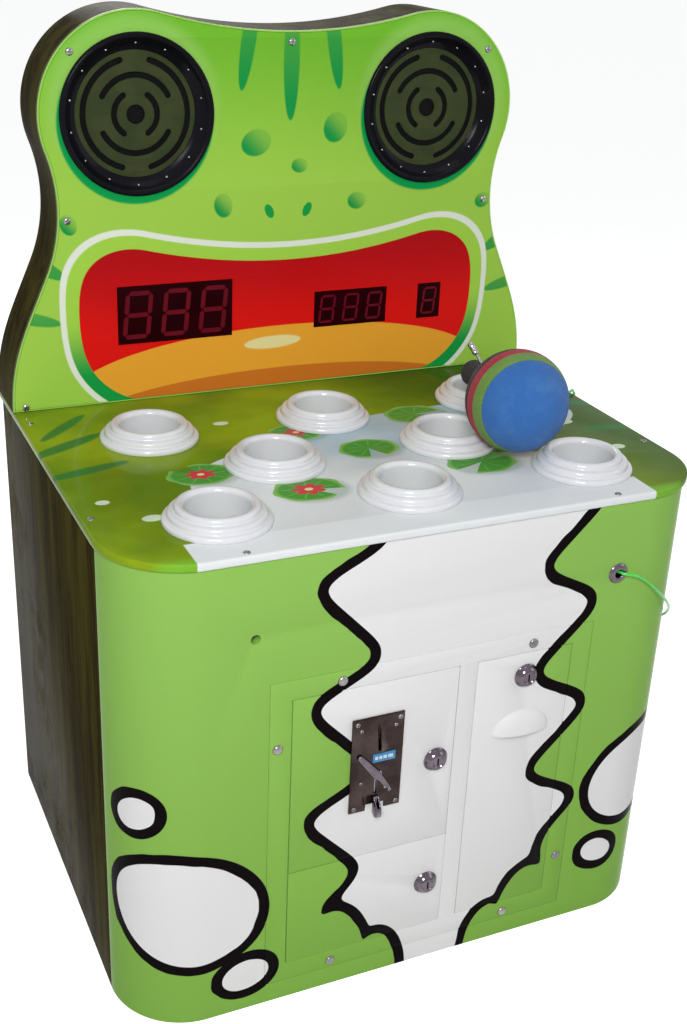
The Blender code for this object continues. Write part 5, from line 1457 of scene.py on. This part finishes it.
# The pressed finger hood: an outer and an inner skin joined along their lips
def makePull():
    pull = doorSet["pull"]
    steps, layers, sunk = pull["steps"], pull["layers"], pull["sunk"]
    shape = bmesh.new()
    skins = []
    for inset in (0, pull["wall"]):
        width, height, reach = pull["halfWidth"] - inset, pull["height"] - inset, pull["reach"] - inset
        rows = []
        for layer in range(layers + 1):
            lean = math.pi / 2 * layer / layers
            depth = cabinet["front"] + sunk - (reach + sunk) * math.sin(lean)
            angles = [math.pi * side / steps for side in range(steps + 1)]
            rows.append([shape.verts.new((pull["x"] + width * math.cos(lean) * math.cos(angle), depth,
                                          pull["z"] + height * math.cos(lean) * math.sin(angle)))
                         for angle in angles])
        skins.append(rows)
    for rows in skins:
        for low, high in zip(rows, rows[1:]):
            for side in range(steps):
                shape.faces.new((low[side], low[side + 1], high[side + 1], high[side]))
    outer, inner = skins
    for layer in range(layers):
        for column in (0, steps):
            shape.faces.new((outer[layer][column], outer[layer + 1][column], inner[layer + 1][column],
                             inner[layer][column]))
    for side in range(steps):
        shape.faces.new((outer[0][side], outer[0][side + 1], inner[0][side + 1], inner[0][side]))
    bmesh.ops.remove_doubles(shape, verts=shape.verts, dist=pull["weld"])
    bmesh.ops.recalc_face_normals(shape, faces=shape.faces)
    return shape


# The service door: a folded tray with a lock hole and the hood
def makeServiceDoor():
    left, right, low, high = doorSet["service"]
    front, sheet = cabinet["front"], doorSet["sheet"]
    blank = box(left, right, front, front + doorSet["depth"], low, high)
    inside = box(left + sheet, right - sheet, front + sheet, front + doorSet["trayCut"], low + sheet,
                 high - sheet)
    lockX, lockZ = doorSet["serviceLock"]
    radius = doorSet["lockHole"]
    start, end = doorSet["holeCut"]
    hole = turned([(0, start), (radius, start), (radius, end), (0, end)], doorSet["holeSides"],
                  facingBack(lockX, front, lockZ))
    tray = soften(cutWith(cutWith(blank, inside), hole), doorSet["round"])
    # both go into an empty bmesh, so that the faces come in the same order on every run
    door = join(join(bmesh.new(), tray), makePull())
    addPiece("serviceDoor", door, finish["frontPrint"], "service_door", ["service_door"],
             smooth=35)


for piece, node, body in (("doorFrame", "door_frame", "cabinet"), ("coinDoor", "coin_door", "coin_door"),
                          ("cashDoor", "cash_door", "cash_door")):
    softNode(piece, node, finish["frontPrint"], body, doorSet["round"])
makeServiceDoor()
makeLocks()
print("doors and locks set")


# Coin unit
coinSet = {
    "x": -0.06685, "z": 0.315, "face": -0.2828, "round": 0.0005,
    # left, right, low and high from the plate's middle
    "label": (-0.0056, 0.0227, 0.0022, 0.0137), "labelProud": 0.0006, "labelSunk": 0.0004,
    "labelRound": 0.00025,
    "bars": [(-0.0030, 0.0008), (0.0022, 0.0060), (0.0074, 0.0120), (0.0134, 0.0196)],
    "barLow": 0.0058, "barHigh": 0.0101, "barProud": 0.00072,
    # x, z and radius of the lever's left end, hub and right end
    "lever": [(-0.022, 0.013, 0.0036), (-0.002, -0.012, 0.0055), (0.015, -0.034, 0.0026)], "leverSteps": 10,
    # depth and inset of the lever's loops, from its back to its ridge
    "crown": [(0, 0.0004), (0.0005, 0), (0.0018, 0), (0.0027, 0.0004), (0.0033, 0.0010), (0.0037, 0.0016),
              (0.0040, 0.0023)],
    "strap": {"x": 0.004, "z": -0.010, "length": 0.026, "half": 0.0012, "leanShare": 0.30, "thick": 0.0016},
}


# The lever's outline: two tapered arms round a hub
def leverOutline(steps):
    places = [(Vector((x, z)), radius) for x, z, radius in coinSet["lever"]]
    (left, leftRadius), (hub, hubRadius), (right, rightRadius) = places
    leftAngle = math.atan2(left.y - hub.y, left.x - hub.x)
    rightAngle = math.atan2(right.y - hub.y, right.x - hub.x)
    quarter = math.pi / 2
    across = (leftAngle + rightAngle) / 2
    waist = hubRadius * Vector((math.cos(across), math.sin(across)))
    outline = arc(left.x, left.y, leftRadius, leftAngle - quarter, leftAngle + quarter, steps)
    outline.append(tuple(hub - waist))
    outline += arc(right.x, right.y, rightRadius, rightAngle - quarter, rightAngle + quarter, steps)
    return outline + [tuple(hub + waist)]


def makeLever():
    x, z, face = coinSet["x"], coinSet["z"], coinSet["face"] - cabinet["gap"]
    outline = leverOutline(coinSet["leverSteps"])
    crown = [[(x + a, face - depth, z + b) for a, b in insetOutline(outline, inset)]
             for depth, inset in coinSet["crown"]]
    addPiece("rejectLever", stack(crown), finish["lockChrome"], "reject_lever",
             ["reject_lever"], smooth=50)


def makeCoinLabel():
    x, z, face, sunk = coinSet["x"], coinSet["z"], coinSet["face"], coinSet["labelSunk"]
    left, right, low, high = coinSet["label"]
    label = box(x + left, x + right, face - coinSet["labelProud"], face + sunk, z + low, z + high)
    addPiece("coinLabel", soften(label, coinSet["labelRound"]), finish["labelBlue"], "coin_door",
             smooth=30)
    bars = bmesh.new()
    for start, end in coinSet["bars"]:
        join(bars, box(x + start, x + end, face - coinSet["barProud"], face - sunk, z + coinSet["barLow"],
                       z + coinSet["barHigh"]))
    addPiece("coinLabelBars", bars, finish["labelPale"], "coin_door", smooth=30)


# The leaning strap below the label
def makeStrap():
    strap = coinSet["strap"]
    x, z = coinSet["x"] + strap["x"], coinSet["z"] + strap["z"]
    plan = [(x + along * strap["leanShare"] + aside, z - along)
            for along, aside in rectangle(0, strap["length"], -strap["half"], strap["half"])]
    shape = stack([[(a, coinSet["face"] - depth, b) for a, b in plan] for depth in (0.0, strap["thick"])])
    addPiece("coinStrap", soften(shape, coinSet["round"]), finish["chrome"], "coin_door",
             smooth=30)


softNode("coinPlate", "coin_plate", finish["darkChrome"], "coin_door", coinSet["round"])
makeLever()
softNode("returnScoop", "return_scoop", finish["lockChrome"], "coin_door", coinSet["round"])
makeCoinLabel()
makeStrap()
print("coin unit set")


# Hammer

# (radius, height) points on the ball between two angles from its crown
def ballArc(start, end, steps):
    radius = hammerSet["radius"]
    angles = [math.radians(start + (end - start) * step / steps) for step in range(steps + 1)]
    return [(radius * math.sin(a), -radius * math.cos(a)) for a in angles]


# Points given in millimetres from a radius and a height
def offsetFrom(radius, height, points):
    return [(radius + outward, height + along) for outward, along in inMetres(points)]


def addLayer(name, profile, surface, node, ring=False):
    shape = turned(profile, hammerSet["sides"], alongLine(hammerCenter, hammerAxis), ring)
    piece = addPiece(name, shape, finish[surface], "hammer", [node], smooth=hammerSet["smooth"])


# The four foam layers; the black one runs on as the ribbed grip and holds the others on its core
def makeFoamHead():
    radius, core, grip, reach = [hammerSet[key] for key in ("radius", "core", "grip", "reach")]
    nick, lip, gap = hammerSet["nick"], hammerSet["lip"], cabinet["gap"]
    blueEnd, greenEnd, redEnd = hammerSet["ends"]
    blueTop, greenTop, redTop = [ballArc(angle, angle, 1)[0][1] for angle in hammerSet["ends"]]
    coreEnd = blueTop - radius * hammerSet["coreRise"]
    bore = core + gap
    crownSteps, layerSteps, gripSteps = hammerSet["arcSteps"]

    blue = [(0, -radius)] + ballArc(0, blueEnd - nick, crownSteps)[1:]
    seam = blueTop - hammerSet["joint"]
    blue += [(blue[-1][0] - lip, seam), (bore, seam), (bore, coreEnd - gap), (0, coreEnd - gap)]
    addLayer("foamBlue", blue, "blueFoam", "foam_blue")
    for name, surface, slot, node, start, end, low, high in (
            ("foamGreen", "greenFoam", "green_foam", "foam_green", blueEnd, greenEnd, blueTop, greenTop),
            ("foamRed", "redFoam", "red_foam", "foam_red", greenEnd, redEnd, greenTop, redTop)):
        edge = ballArc(start + nick, end - nick, layerSteps)
        profile = [(bore, low + gap), (edge[0][0] - lip, low + gap), *edge, (edge[-1][0] - lip, high),
                   (bore, high)]
        addLayer(name, profile, surface, node, ring=True)

    gripAngle = 180 - math.degrees(math.asin(grip / radius))
    black = ballArc(redEnd + nick, gripAngle - hammerSet["ballFoot"], gripSteps)
    foot = ballArc(gripAngle, gripAngle, 1)[0][1]
    profile = [(0, coreEnd), (core, coreEnd), (core, redTop + gap), (black[0][0] - lip, redTop + gap), *black]
    profile += offsetFrom(grip, foot, hammerSet["root"])
    along = foot + hammerSet["ribsFrom"]
    while along < reach - hammerSet["ribsUntil"]:
        profile += offsetFrom(grip, along, hammerSet["rib"])
        along += hammerSet["ribPitch"]
    profile += offsetFrom(grip, reach, hammerSet["pommel"]) + [(0, reach)]
    addLayer("foamGrip", profile, "blackFoam", "hammer_grip")


def makeFerrule():
    foot = hammerCenter + Vector(hammerSet["ferruleFoot"])
    tip = hammerCenter + Vector(hammerSet["ferruleTip"])
    onAxis = hammerCenter + hammerAxis * hammerSet["neck"]
    start = onAxis + (foot - onAxis).normalized() * (hammerSet["grip"] - hammerSet["ferruleSunk"])
    run = (tip - start).length
    sleeve = [(0, 0), (hammerSet["ferruleNeck"], 0)] + offsetFrom(0, run, hammerSet["ferrule"])
    shape = turned(sleeve, hammerSet["ferruleSides"], alongLine(start, tip - start))
    addPiece("tetherFerrule", shape, finish["chrome"], "hammer", ["tether_ferrule"],
             smooth=40)


makeFoamHead()
makeFerrule()
print("hammer set")


# Fasteners
screwSet = {"sides": 40, "rings": 9, "recess": 0.45, "slotHalf": 0.13, "slotReach": 0.62, "dome": 2.6,
            "fall": 0.15, "sunk": 0.0006, "spin": 3.1}
fastenerSet = {
    "lift": 0.0001, "innerShare": 0.78, "inletShare": 0.7,
    "deck": [(-0.225, 0.005), (0.225, 0.005), (-0.352, 0.134), (0.352, 0.134), (-0.352, 0.425),
             (0.352, 0.425)],
    "face": [(-0.275, 0.431), (0.275, 0.431), (-0.286, 0.237), (0.286, 0.237), (-0.348, 0.006),
             (0.348, 0.006), (0, 0.441)],
    "frame": [(-0.113, 0.433), (-0.188, 0.361), (-0.113, 0.037), (0.130, 0.432), (0.200, 0.105),
              (0.1275, 0.0365)],
    "plate": [(-0.0265, 0.0575), (0.0265, 0.0575), (-0.0265, -0.0575), (0.0265, -0.0575)],
    "plateInner": [(-0.0215, 0.0480), (0.0215, 0.0480), (-0.0190, -0.0235), (0.0180, -0.0400)],
    "rear": [(-0.335, 0.02), (-0.335, 0.21), (-0.335, 0.39), (-0.335, 0.575), (0.335, 0.02), (0.335, 0.21),
             (0.335, 0.39), (0.335, 0.575), (-0.12, 0.02), (-0.12, 0.575), (0.12, 0.02), (0.12, 0.575)],
    "inlet": [(-0.02, 0), (0.02, 0)],
    # (radius, height) in millimetres
    "bolt": [(0, 3.0), (2.2, 2.9), (4.0, 2.4), (5.4, 1.5), (6.2, 0.4), (6.2, -0.5), (0, -0.5)],
}
eyeletSet = {
    "sides": 72,
    # (radius, depth) in millimetres, from the bore's inner end over the flange
    "profile": [(5.0, 18.0), (5.0, 2.0), (5.0, -1.6), (5.2, -2.4), (5.8, -3.0), (6.6, -3.3), (7.8, -3.3),
                (9.2, -3.0), (10.6, -2.4), (11.8, -1.6), (12.6, -0.9), (12.9, -0.3), (8.5, -0.3),
                (8.5, 18.0)],
}
inletSet = {"place": (0.25, 0.09), "proud": 0.0033, "halfWidth": 0.001, "halfHeight": 0.002,
            "pins": [(-0.0065, -0.002), (0.0065, -0.002), (0, 0.0025)], "depths": (0.2655, 0.2775),
            "round": 0.0004}


# A pan head with a pressed cross, facing local +Z
def screwHead(radius, height):
    sides, rings, recess = screwSet["sides"], screwSet["rings"], screwSet["recess"]
    turns = [2 * math.pi * side / sides for side in range(sides)]
    shape = bmesh.new()
    center = shape.verts.new((0, 0, height * (1 - recess)))
    loops = []
    for ring in range(1, rings + 1):
        share = ring / rings
        rise = math.sqrt(max(0, 1 - share ** screwSet["dome"])) * (1 - screwSet["fall"] * share)
        loop = []
        for angle in turns:
            x, y = share * math.cos(angle), share * math.sin(angle)
            near, far = sorted((abs(x), abs(y)))
            pressed = recess if near < screwSet["slotHalf"] and far < screwSet["slotReach"] else 0
            loop.append(shape.verts.new((radius * x, radius * y, height * rise * (1 - pressed))))
        loops.append(loop)
    loops.append([shape.verts.new((radius * math.cos(angle), radius * math.sin(angle), -screwSet["sunk"]))
                  for angle in turns])
    for side in range(sides):
        shape.faces.new((center, loops[0][side], loops[0][(side + 1) % sides]))
    for low, high in zip(loops, loops[1:]):
        for side in range(sides):
            after = (side + 1) % sides
            shape.faces.new((low[side], high[side], high[after], low[after]))
    shape.faces.new(list(reversed(loops[-1])))
    bmesh.ops.recalc_face_normals(shape, faces=shape.faces)
    return shape


# Rows for scatter from (across, along) places on a face
def rowsOn(points, origin, facing, share=1.0):
    x, y, z = origin
    if facing[2]:
        return [((x + a, y + b, z), facing, share) for a, b in points]
    return [((x + a, y, z + b), facing, share) for a, b in points]


def makeFasteners():
    lift, front, back, spin = fastenerSet["lift"], cabinet["front"], cabinet["back"], screwSet["spin"]
    up, ahead, behind = (0, 0, 1), (0, -1, 0), (0, 1, 0)
    coin = (coinSet["x"], coinSet["face"], coinSet["z"])
    inletX, inletZ = inletSet["place"]
    inlet = (inletX, back + inletSet["proud"], inletZ)
    deckRows = rowsOn(fastenerSet["deck"], (0, front, deckTop + lift), up)
    faceRows = rowsOn(fastenerSet["face"], (0, head["face"] - lift, deckTop), ahead)
    frameRows = rowsOn(fastenerSet["frame"], (0, front - lift, 0), ahead)
    plateRows = rowsOn(fastenerSet["plate"], coin, ahead)
    plateRows += rowsOn(fastenerSet["plateInner"], coin, ahead, fastenerSet["innerShare"])
    rearRows = rowsOn(fastenerSet["rear"], (0, back + lift, 0), behind)
    rearRows += rowsOn(fastenerSet["inlet"], inlet, behind, fastenerSet["inletShare"])
    bolt = turned(inMetres(fastenerSet["bolt"]), screwSet["sides"])
    for name, part, rows, surface, body, turn, seed in (
            ("deckScrews", screwHead(0.0042, 0.0014), deckRows, "boltSteel", "cabinet", spin, 1),
            ("faceScrews", screwHead(0.0046, 0.0020), faceRows, "chrome", "cabinet", spin, 2),
            ("frameBolts", bolt, frameRows, "boltSteel", "cabinet", 0, 1),
            ("plateScrews", screwHead(0.0031, 0.0018), plateRows, "boltSteel", "coin_door", spin, 4),
            ("rearScrews", screwHead(0.0046, 0.0020), rearRows, "zincSteel", "cabinet", spin, 6)):
        scatter(name, part, rows, finish[surface], body, turn, seed)


def makeEyelet():
    x, z = frontSet["eyelet"]
    shape = turned(inMetres(eyeletSet["profile"]), eyeletSet["sides"], facingBack(x, cabinet["front"], z),
                   ring=True)
    addPiece("cordEyelet", shape, finish["lockChrome"], "cabinet", ["eyelet"], smooth=40)


def makeInletPins():
    pins = bmesh.new()
    inletX, inletZ = inletSet["place"]
    wide, tall = inletSet["halfWidth"], inletSet["halfHeight"]
    for a, b in inletSet["pins"]:
        x, z = inletX + a, inletZ + b
        join(pins, soften(box(x - wide, x + wide, *inletSet["depths"], z - tall, z + tall),
                          inletSet["round"]))
    addPiece("inletPins", pins, finish["brass"], "cabinet", smooth=30)


makeFasteners()
makeEyelet()
makeInletPins()
print("fasteners set")


# Finishes of the solids that stay
kept = {
    "rawBoard": ["base_board", "deck_frame", "carrier_board"],
    "zincSteel": ["front_drive", "middle_drive", "back_drive", "coin_mech", "cash_box", "power_supply"],
    "speakerPaper": ["left_speaker", "right_speaker"],
    "displayGlass": ["score_display", "target_display", "credit_display"],
    "circuitBoard": ["main_board"],
    "glossBlack": ["power_inlet"],
}
for key, names in kept.items():
    for node in names:
        for slot in nodes[node].material_slots:
            slot.material = finish[key]
